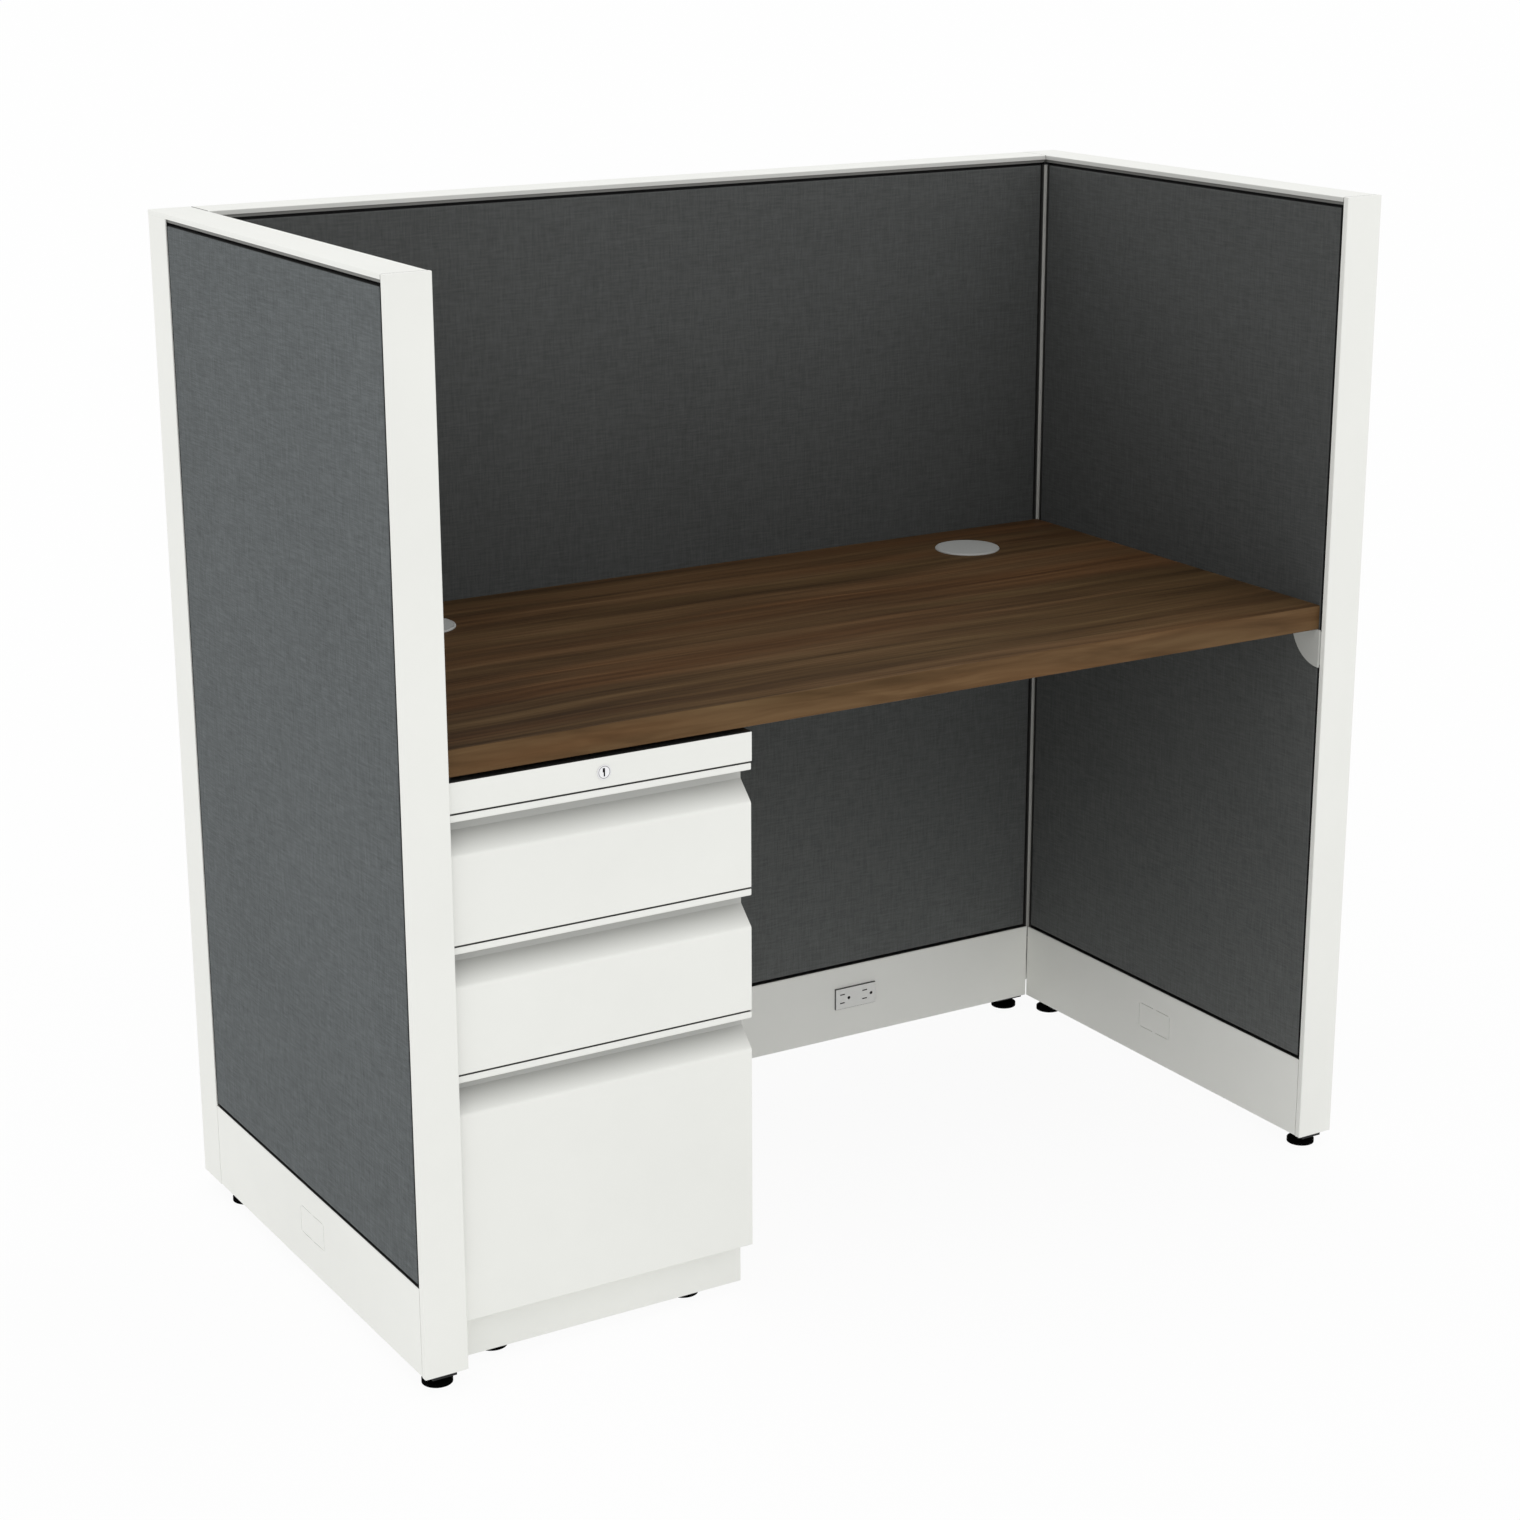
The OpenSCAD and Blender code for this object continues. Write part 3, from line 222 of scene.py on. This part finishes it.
def powder_coat(name, colour, thick=0.972, dark=None, dark_colour=PAINTED_SHADE, specular=0.4):
    f = Finish(name, Metallic=0.0, Specular_IOR_Level=specular)
    clouds = f.noise(4.0, 5.0, 0.62)
    patches = f.add("MapRange", Value=clouds, i1=0.35, i2=0.65)
    tone = f.mix(patches, colour, tuple(c * thick for c in colour))
    # The mask paints shade where a gap or hollow keeps the light out.
    if dark is not None:
        tone = f.mix(dark(f), tone, dark_colour)
    f.paint(Base_Color=tone, Roughness=0.44 + 0.1 * clouds)
    f.relief(f.noise(620.0, 1.0), ORANGE_PEEL, 0.3)
    return f.material


OFF_WHITE = (0.872, 0.878, 0.838)
white_coat = powder_coat("off_white_powder_coat", OFF_WHITE)
tray_coat = powder_coat("grey_powder_coat", (0.36, 0.37, 0.375))
black_coat = powder_coat("black_powder_coat", (0.022, 0.022, 0.023), specular=0.15)
bracket_coat = powder_coat("pale_grey_powder_coat", (0.5, 0.505, 0.48), specular=0.2)
print("powder coats", white_coat.name, tray_coat.name, black_coat.name, bracket_coat.name)

# %% [markdown]
# Painted shade darkens the gaps and hollows that the light hardly reaches. A cap is a white edge on a
# neck painted dark, and its inner face is painted a little darker, which shows as a grey line over
# the fabric; the seam lines at its cut ends are dark joints. The top flange of a raceway cover is
# painted dark as the shade of the gap under the tile, and so is the top of the pedestal under the
# worksurface.
# The angle in an inside corner is painted grey for its shade, with a light nose between two gaps that
# are painted dark. The masks read their edges from the boxes of the nodes, and stay a hair off the
# faces so that rounding can't flip them.

# %% Caps, covers and inside corners
CAP_EDGE = 0.0059
SEAM = 0.0007
SLOT_REACH = 0.0009
OFF_FACE = 0.0002


def higher(first, second):
    return first.math("MAXIMUM", first, second)


def cap_neck_shade(f):
    x, y, z = f.split()
    inner_side = abs(x).below(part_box("right_inner_tile")[0][0] + OFF_FACE)
    inner_side = inner_side * y.below(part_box("back_inner_tile")[0][1] + OFF_FACE)
    # Painted shade: the neck under the cap's edge is dark, and the cap's inner face a lighter grey.
    return higher(z.below(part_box("left_top_cap")[1][2] - CAP_EDGE, OFF_FACE), inner_side * 0.35)


def cut_ends(f):
    x, y, _ = f.split()
    side_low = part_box("left_top_cap")[0]
    back_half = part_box("back_top_cap")[1][0]
    front_end = y.below(side_low[1] + SEAM, OFF_FACE)
    back_ends = abs(abs(x) - back_half).below(SEAM, OFF_FACE)
    return higher(front_end, back_ends * y.above(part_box("back_top_cap")[0][1]))


def neck_shade_and_seams(f):
    return higher(cap_neck_shade(f), cut_ends(f))


def cover_flange_shade(f):
    # Painted shade: the flange in the gap under the tile is painted dark.
    return f.split()[2].above(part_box("left_inner_cover")[1][2] - SHARP)


def angle_side_shade(f):
    x, y, _ = f.split()
    inner_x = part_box("right_inner_tile")[0][0]
    inner_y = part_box("back_inner_tile")[0][1]
    return higher(abs(x).below(inner_x - SLOT_REACH), y.below(inner_y - SLOT_REACH))


def pedestal_top_shade(f):
    lower_top = min(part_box("pedestal_case")[1][2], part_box("pedestal_fascia")[1][2])
    # Painted shade: the top under the worksurface is painted dark for the shade of the gap.
    return f.split()[2].above(lower_top - 2 * OFF_FACE)


# The cap's neck and inner face get painted shade; the seam lines at its cut ends are dark joints.
cap_coat = powder_coat("cap_powder_coat", OFF_WHITE, dark=neck_shade_and_seams,
                       dark_colour=(0.19, 0.19, 0.18))
cover_coat = powder_coat("cover_powder_coat", OFF_WHITE, dark=cover_flange_shade)
# Painted shade: the angle is painted grey for the shade of the inside corner, and its sides darker
# for the gaps beside them.
shaded_angle_coat = powder_coat("angle_powder_coat_painted_shade", (0.46, 0.46, 0.438), dark=angle_side_shade,
                         dark_colour=(0.045, 0.045, 0.043))
case_coat = powder_coat("case_powder_coat", OFF_WHITE, dark=pedestal_top_shade)

# %% [markdown]
# A drawer front has a full-width pull: a lip, and under it a hollow that slants back out to the face.
# The hollow is painted darker the deeper it goes, and a band under the lip darker still, both
# painted shade. The top edge, which faces the gap to the front above, has a thin strip of painted
# shade just behind the face.

# %% Drawer fronts
LIP = 0.0085
PULL_DEPTH = 0.0234
PULL_END = 0.047
STRIP = (0.0008, 0.006)


def front_coat(node):
    low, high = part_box(node)
    face = low[1]

    def hollow(f):
        _, y, z = f.split()
        lip_z = high[2] - LIP
        depth = (y - face).above(PULL_DEPTH / 2, PULL_DEPTH)
        in_pull = z.below(lip_z + 2 * OFF_FACE) * z.above(high[2] - PULL_END)
        under_lip = abs(z - lip_z).below(3 * OFF_FACE) * y.above(face + 3 * OFF_FACE)
        strip = y.above(face + STRIP[0]) * y.below(face + STRIP[1])
        top_edge = z.above(high[2] - OFF_FACE) * strip
        # Painted shade: darker deeper in the pull and under the lip, and a strip on the top edge
        # facing the gap.
        return higher(higher(depth * in_pull * 0.5, under_lip * 0.34), top_edge)

    return powder_coat(node + "_powder_coat", OFF_WHITE, dark=hollow, dark_colour=(0.1, 0.1, 0.097))


front_coats = {node: front_coat(node) for node in ("upper_front", "middle_front", "file_front")}
print("drawer fronts", len(front_coats))

# %% [markdown]
# The tiles are boards wrapped in a plain-woven panel fabric. In a plain weave each warp thread goes
# over one weft thread and under the next. Two sine waves give the two sets of threads, and the sign
# of their product says which one is on top; the valleys between them are painted shade. Slubs, the
# thick places in a thread, are noise that is stretched along it. The threads run level and upright,
# so a side wall needs its own copy. The tiles that face the sitter are a more neutral grey than the
# outer ones, and a painted shade makes them darker. Over the worksurface their cloth gets more
# painted shade, most of all just above the top. Down by the raceway it gets painted light and is
# lighter. The board's edges, where the cloth goes round into the slots between the parts, are
# painted nearly black as the shade of the slots.

# %% Panel fabric
THREAD = 0.0011
SLUB_WIDTH, SLUB_LENGTH = 520.0, 42.0
DESK_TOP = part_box("worksurface")[1][2]
BEHIND_DESK = 0.02
SHADE_HEIGHT, SHADE_BLEND = 0.17, 0.36
LIGHT_UNDER, LIGHT_BLEND = 0.28, 0.3
EDGE_DEPTH = 0.0011
EDGE_BLEND = 0.0006
SLOT_SHADE = (0.022, 0.022, 0.0215)


def painted_desk_shade_and_light(f, tone):
    z = f.split()[2]
    # Painted shade over the worksurface, deepest just above its top, and painted light down by the
    # raceway.
    over_desk = z.above(DESK_TOP - BEHIND_DESK, 0.01)
    tone = f.mix(over_desk, tone, (0.83, 0.83, 0.83), "MULTIPLY")
    low_down = over_desk * z.below(DESK_TOP + SHADE_HEIGHT, SHADE_BLEND)
    tone = f.mix(low_down, tone, (0.8, 0.8, 0.8), "MULTIPLY")
    return f.mix(z.below(LIGHT_UNDER, LIGHT_BLEND), tone, (1.2, 1.2, 1.2), "MULTIPLY")


# Painted shade: the cloth on the board's edges, down in the slots, is painted nearly black.
def slot_shade_mask(f, side, face):
    low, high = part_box("back_" + face + "_tile" if side == "back" else "right_" + face + "_tile")
    axis = 1 if side == "back" else 0
    place = abs(f.split()[axis])
    if face == "inner":
        return place.above(low[axis] + EDGE_DEPTH, EDGE_BLEND)
    return place.below(high[axis] - EDGE_DEPTH, EDGE_BLEND)


def panel_fabric(side, face, yarn, contrast):
    f = Finish("charcoal_weave_" + side + "_" + face, Roughness=0.95, Specular_IOR_Level=0.06,
               Sheen_Weight=0.02)
    level_axis = 0 if side == "back" else 1
    place = f.split()
    along, up = place[level_axis], place[2]
    warp = along.math("SINE", along * (math.pi / THREAD))
    weft = up.math("SINE", up * (math.pi / THREAD))
    over = warp.math("GREATER_THAN", warp * weft, 0.0)
    height = over * abs(warp) + (1 - over) * abs(weft)
    stretch_level = [SLUB_WIDTH, SLUB_WIDTH, SLUB_WIDTH]
    stretch_level[level_axis] = SLUB_LENGTH
    slub_up = f.noise(1.0, 2.0, 0.6, (SLUB_WIDTH, SLUB_WIDTH, SLUB_LENGTH))
    slub_level = f.noise(1.0, 2.0, 0.6, stretch_level)
    heather = over * slub_up + (1 - over) * slub_level
    drift = f.noise(2.2, 3.0, 0.55)
    tone = f.add("ValToRGB", out="Color", Fac=heather * 0.85 + drift * 0.15, settings={
        "stops": [(0.32, tuple(c * (1 - contrast) for c in yarn)), (0.5, yarn),
                  (0.68, tuple(c * (1 + 1.1 * contrast) for c in yarn))]})
    if face == "inner":
        tone = painted_desk_shade_and_light(f, tone)
    # The valleys between the threads are painted shade.
    weave_with_shade = f.mix((1 - height) * 0.5, tone, tuple(c * 0.3 for c in yarn))
    f.paint(Base_Color=f.mix(slot_shade_mask(f, side, face), weave_with_shade, SLOT_SHADE))
    f.relief(height + slub_up * 0.3, 0.00022, 0.6)
    return f.material


OUTER_YARN = (0.139, 0.151, 0.154)
# The inner yarn is darker by a painted shade of the station's inside; its more neutral hue is the
# cloth's own.
INNER_YARN = (0.115, 0.12, 0.118)
fabrics = {
    (side, face): panel_fabric(side, face, yarn, contrast)
    for side in ("side", "back")
    for face, yarn, contrast in (("outer", OUTER_YARN, 0.3), ("inner", INNER_YARN, 0.24))
}
print("threads every", THREAD * 1000, "mm, fabrics", len(fabrics))

# %% [markdown]
# The worksurface is particle board under a walnut-grain laminate. Its figure runs along the desk:
# broad streaks from heartwood to sapwood, finer bands inside them, and hair-thin lines. Each is the
# same noise, squeezed across the grain, and a slow second noise bends the lines so that they wander.
# Some streaks lean to red and others to olive. The front edge shows the figure cut at an angle, as
# soft slanting flames, a little lighter than the top.

# %% Walnut laminate
def walnut_laminate():
    f = Finish("walnut_laminate", Specular_IOR_Level=0.08)
    wander = f.noise(1.0, 2.0, 0.5, (1.5, 1.5, 1.5))
    x, y, z = f.split()
    across = y + z * 0.9 + wander * 0.06

    def streaks(along, narrow, detail, seed=0.0, bend=0.0):
        spot = f.add("CombineXYZ", X=x * along, Y=across * narrow, Z=seed)
        return f.add("TexNoise", out="Fac", Vector=spot, Scale=1.0, Detail=detail, Roughness=0.6,
                     Distortion=bend)

    broad = streaks(1.1, 20.0, 4.0, bend=0.4)
    fine = streaks(2.6, 80.0, 4.0, 0.3)
    hair = streaks(4.5, 300.0, 3.0, 0.7)
    figure = broad * 0.45 + fine * 0.38 + hair * 0.27
    top = f.add("ValToRGB", out="Color", Fac=figure, settings={
        "stops": [(0.42, (0.044, 0.0235, 0.0105)), (0.52, (0.077, 0.0425, 0.019)),
                  (0.58, (0.098, 0.0545, 0.0245)), (0.7, (0.15, 0.088, 0.042))]})
    slant = f.add("CombineXYZ", X=x * 5.0 + z * 34.0, Y=z * 42.0 - x * 2.0, Z=0.0)
    flame = f.add("TexNoise", out="Fac", Vector=slant, Scale=1.0, Detail=3.0, Roughness=0.55,
                  Distortion=0.6)
    edge = f.add("ValToRGB", out="Color", Fac=flame * 0.7 + fine * 0.3, settings={
        "stops": [(0.36, (0.075, 0.0412, 0.0168)), (0.5, (0.108, 0.0605, 0.026)),
                  (0.64, (0.147, 0.088, 0.0405))]})
    front = y.below(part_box("worksurface")[0][1] + 3 * OFF_FACE, 3 * OFF_FACE)
    wood = f.mix(front, top, edge)
    hue = streaks(0.9, 13.0, 2.0, 1.7)
    red = f.add("MapRange", Value=hue, i1=0.5, i2=0.66)
    olive = f.add("MapRange", Value=hue, i1=0.5, i2=0.36)
    wood = f.mix(red * 0.8, wood, (1.1, 0.95, 0.86), "MULTIPLY")
    wood = f.mix(olive * 0.8, wood, (0.92, 1.0, 0.96), "MULTIPLY")
    f.paint(Base_Color=wood, Roughness=0.48 + 0.12 * fine)
    f.relief(hair, 0.00005, 0.35)
    return f.material


walnut = walnut_laminate()
print("worksurface finish", walnut.name)

# %% [markdown]
# The rest is plastic and plated metal. Moulded plastic has a fine spark-eroded grain, and zinc plate
# is a bright metal whose roughness changes a little from place to place.

# %% Plastics and metals
# Colours of painted shade in holes and in narrow gaps.
HOLE_SHADE = (0.01, 0.01, 0.01)
GAP_SHADE = (0.12, 0.12, 0.117)


def moulded(name, colour, roughness, grain=0.00003, specular=0.35, dark=None, rim=None):
    f = Finish(name, Specular_IOR_Level=specular)
    spread = f.noise(9.0, 3.0)
    tone = f.mix(spread, colour, tuple(c * 0.93 for c in colour))
    if dark is not None:
        tone = f.mix(dark(f), tone, HOLE_SHADE)
    if rim is not None:
        tone = f.mix(rim(f), tone, GAP_SHADE)
    f.paint(Base_Color=tone, Roughness=roughness + 0.08 * spread)
    f.relief(f.noise(1500.0, 1.0), grain, 0.5)
    return f.material


def plated(name, colour, roughness, dark=None):
    f = Finish(name)
    stain = f.noise(24.0, 4.0, 0.6)
    tone = f.mix(stain, colour, tuple(c * 0.9 for c in colour))
    if dark is None:
        f.paint(Base_Color=tone, Metallic=1.0, Roughness=roughness + 0.16 * stain)
    else:
        # The mask paints the shade of a hole: black and not metallic.
        hollow = dark(f)
        f.paint(Base_Color=f.mix(hollow, tone, (0.004, 0.004, 0.004)), Metallic=1 - hollow,
                Roughness=roughness + 0.16 * stain)
    f.relief(f.noise(900.0, 2.0), 0.00002, 0.3)
    return f.material


grommet_grey = moulded("grommet_plastic", (0.45, 0.455, 0.44), 0.6, specular=0.2)
glide_black = moulded("glide_plastic", (0.0015, 0.0015, 0.0015), 0.8, specular=0.01)
zinc = plated("zinc_plate", (0.62, 0.63, 0.64), 0.3)
print("plastics and metals ready")

# %% [markdown]
# Two small faces have holes whose inside is painted dark as painted shade: the keyway of the lock
# and the contact slots of the outlet. The mask is 1 from just behind the face. The plug's rim and
# the outlet's sides are in the shade of a narrow gap, so they get painted shade too.

# %% Lock and outlet
PLUG_RADIUS = 0.00725
PLUG_RIM = 0.0007
HOLE_EDGE = 0.0003
OUTLET_BORDER = 0.003


def inside_keyway(f):
    x, y, z = f.split()
    low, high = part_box("lock_housing")
    across, up = x - (low[0] + high[0]) / 2, z - (low[2] + high[2]) / 2
    from_middle = (across * across + up * up) ** 0.5
    rim = from_middle.above(PLUG_RADIUS - PLUG_RIM, HOLE_EDGE) * 0.7
    return higher(y.above(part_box("lock_plug")[0][1] + HOLE_EDGE, HOLE_EDGE), rim)


def inside_slots(f):
    x, y, z = f.split()
    low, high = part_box("outlet")
    frame_x = abs(x - (low[0] + high[0]) / 2).below((high[0] - low[0]) / 2 - OUTLET_BORDER)
    frame_z = abs(z - (low[2] + high[2]) / 2).below((high[2] - low[2]) / 2 - OUTLET_BORDER)
    return y.above(low[1] + 2 * OFF_FACE, HOLE_EDGE) * frame_x * frame_z


def side_of_outlet(f):
    x, _, z = f.split()
    low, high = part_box("outlet")
    ends = abs(x - (low[0] + high[0]) / 2).above((high[0] - low[0]) / 2 - HOLE_EDGE)
    edges = abs(z - (low[2] + high[2]) / 2).above((high[2] - low[2]) / 2 - HOLE_EDGE)
    return higher(ends, edges)


plug_nickel = plated("plug_nickel", (0.95, 0.95, 0.965), 0.25, dark=inside_keyway)
nickel = plated("nickel_plate", (0.86, 0.86, 0.87), 0.22)
outlet_white = moulded("outlet_plastic", (0.84, 0.845, 0.82), 0.4, 0.00001, dark=inside_slots,
                       rim=side_of_outlet)

# %% [markdown]
# Each solid keeps its own shape and gets the finish of its material slot in the record. A few nodes
# have a finish of their own, and the fabric tiles are told apart by their wall and by their side.

# %% Dress the solids
finish_of_slot = {
    "off_white_paint": white_coat, "walnut_laminate": walnut, "grey_plastic": grommet_grey,
    "black_plastic": glide_black, "white_plastic": outlet_white, "grey_paint": tray_coat,
    "black_paint": black_coat, "zinc_steel": zinc, "nickel_lock": nickel,
}
finish_of_node = {"lock_plug": plug_nickel, "inner_corner_trims": shaded_angle_coat,
                  "desk_brackets": bracket_coat, "pedestal_case": case_coat,
                  "pedestal_fascia": case_coat, **front_coats}
for wall in ("left", "right", "back"):
    finish_of_node[wall + "_top_cap"] = cap_coat
    for face in ("inner", "outer"):
        finish_of_node[wall + "_" + face + "_cover"] = cover_coat
        run = "back" if wall == "back" else "side"
        finish_of_node[wall + "_" + face + "_tile"] = fabrics[run, face]


def dress(node, finish):
    slots = nodes[node].data.materials
    slots.clear()
    slots.append(finish)


for part in frame["record"]["subparts"]:
    name, slot = part["node"], part["material_slot"]
    dress(name, finish_of_node.get(name) or finish_of_slot[slot])
print("dressed", len(nodes), "solids,", len(finish_of_node), "with a finish of their own")

# %% [markdown]
# Blind rivets hold each drawer's tray to its slides and to its front. They are too small for the
# solids, and they show when a drawer is open. A rivet is turned work, so its half section is drawn
# as a chain of edges and spun round once. It is modelled at the origin, lying along +X, and its
# copies are then turned and moved to their places inside the tray's walls.

# %% Rivet
RIVET_SECTION = [(0.0, 0.0), (0.0, 0.0034), (0.0005, 0.0034), (0.0012, 0.0026), (0.0014, 0.0015),
                 (0.0006, 0.0012), (0.0006, 0.0)]
RIVET_STEPS = 16
MERGE_GAP = 0.00001


def rivet_mesh():
    shape = bmesh.new()
    chain = [shape.verts.new((along, out, 0.0)) for along, out in RIVET_SECTION]
    edges = [shape.edges.new(pair) for pair in zip(chain, chain[1:])]
    bmesh.ops.spin(shape, geom=chain + edges, cent=(0.0, 0.0, 0.0), axis=(1.0, 0.0, 0.0),
                   angle=math.tau, steps=RIVET_STEPS, use_merge=True)
    bmesh.ops.remove_doubles(shape, verts=shape.verts, dist=MERGE_GAP)
    bmesh.ops.recalc_face_normals(shape, faces=shape.faces)
    mesh = bpy.data.meshes.new("rivet")
    shape.to_mesh(mesh)
    shape.free()
    return mesh


rivet = rivet_mesh()
print("rivet head", 2 * max(out for _, out in RIVET_SECTION) * 1000, "mm across")

# %% [markdown]
# Three rivets in each side wall of a tray hold a slide, and four in its front wall hold the drawer
# front. Their places are shares of the boxes of the tray and of its runners.

# %% Rivets of the drawers
TRAY_WALL = 0.0012
SLIDE_SHARES = (0.12, 0.5, 0.86)
ACROSS_SHARES = (0.12, 0.88)
UP_SHARES = (0.25, 0.72)


def add_copy(shape, mesh, place, turn):
    before = len(shape.verts)
    shape.from_mesh(mesh)
    shape.verts.ensure_lookup_table()
    bmesh.ops.transform(shape, verts=shape.verts[before:],
                        matrix=Matrix.Translation(place) @ Matrix.Rotation(turn, 4, "Z"))


def add_rivets(drawer):
    low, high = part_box(drawer + "_tray")
    slide_low, slide_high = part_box(drawer + "_runners")
    slide_z = (slide_low[2] + slide_high[2]) / 2
    shape = bmesh.new()
    for share in SLIDE_SHARES:
        y = slide_low[1] + share * (slide_high[1] - slide_low[1])
        add_copy(shape, rivet, (low[0] + TRAY_WALL, y, slide_z), 0.0)
        add_copy(shape, rivet, (high[0] - TRAY_WALL, y, slide_z), math.pi)
    for across in ACROSS_SHARES:
        x = low[0] + across * (high[0] - low[0])
        for up in UP_SHARES:
            z = low[2] + up * (high[2] - low[2])
            add_copy(shape, rivet, (x, low[1] + TRAY_WALL, z), math.pi / 2)
    mesh = bpy.data.meshes.new(drawer + "_rivets")
    shape.to_mesh(mesh)
    shape.free()
    piece = bpy.data.objects.new(drawer + "_rivets", mesh)
    piece.data.materials.append(zinc)
    bpy.context.scene.collection.objects.link(piece)
    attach(piece, drawer + "_drawer")
    return len(mesh.polygons)


print("rivet faces", [add_rivets(drawer) for drawer in ("upper", "middle", "file")])

# %% [markdown]
# The studio: a wide pale floor, a white surround and one large soft lamp over the front, which is
# weak. The surround gives nearly all the light, evenly from all sides, as in the photograph, where
# only the walls' own shade darkens the inside of the station. The floor is a light table: it glows a
# little by itself, and more to the camera and to what the camera sees by a mirror or through glass.
# That keeps it white while the station's shadow still falls on it.

# %% Studio
FLOOR_RADIUS = 70.0
GLOW = 0.3
GLOW_SEEN = 0.64


def floor_finish():
    f = Finish("floor", Roughness=0.9, Specular_IOR_Level=0.0, Base_Color=(0.88, 0.88, 0.88))
    glow = f.add("Emission", Color=(1.0, 1.0, 1.0), Strength=1.0)
    camera_ray = f.add("LightPath", out="Is Camera Ray")
    seen = camera_ray + camera_ray.beside("Is Glossy Ray") + camera_ray.beside("Is Transmission Ray")
    lit = Wire(f.tree, f.shader.outputs[0])
    both = f.add("MixShader", i0=seen * GLOW_SEEN + GLOW, i1=lit, i2=glow)
    connect(f.tree, f.tree.nodes["Material Output"].inputs[0], both)
    return f.material


def add_floor():
    mesh = bpy.data.meshes.new("floor")
    shape = bmesh.new()
    bmesh.ops.create_circle(shape, cap_ends=True, segments=64, radius=FLOOR_RADIUS)
    shape.to_mesh(mesh)
    shape.free()
    floor = bpy.data.objects.new("floor", mesh)
    floor.data.materials.append(floor_finish())
    bpy.context.scene.collection.objects.link(floor)


def add_lamp(name, place, target, size, power):
    lamp = bpy.data.lights.new(name, "AREA")
    lamp.shape = "SQUARE"
    lamp.size = size
    lamp.energy = power
    holder = bpy.data.objects.new(name, lamp)
    bpy.context.scene.collection.objects.link(holder)
    aim = (Vector(target) - Vector(place)).to_track_quat("-Z", "Y")
    holder.matrix_world = Matrix.Translation(place) @ aim.to_matrix().to_4x4()


def add_surround(strength):
    world = bpy.data.worlds.new("surround")
    bpy.context.scene.world = world
    world.use_nodes = True
    sky = world.node_tree.nodes["Background"]
    sky.inputs["Color"].default_value = (1.0, 1.0, 1.0, 1.0)
    sky.inputs["Strength"].default_value = strength


add_floor()
add_surround(1.0)
add_lamp("front_lamp", place=(-2.5, -5.0, 4.5), target=(0.0, 0.0, 0.6), size=3.5, power=10.0)
bpy.context.scene.view_settings.view_transform = "Standard"
print("floor", 2 * FLOOR_RADIUS, "m across, lamps", len(bpy.data.lights))
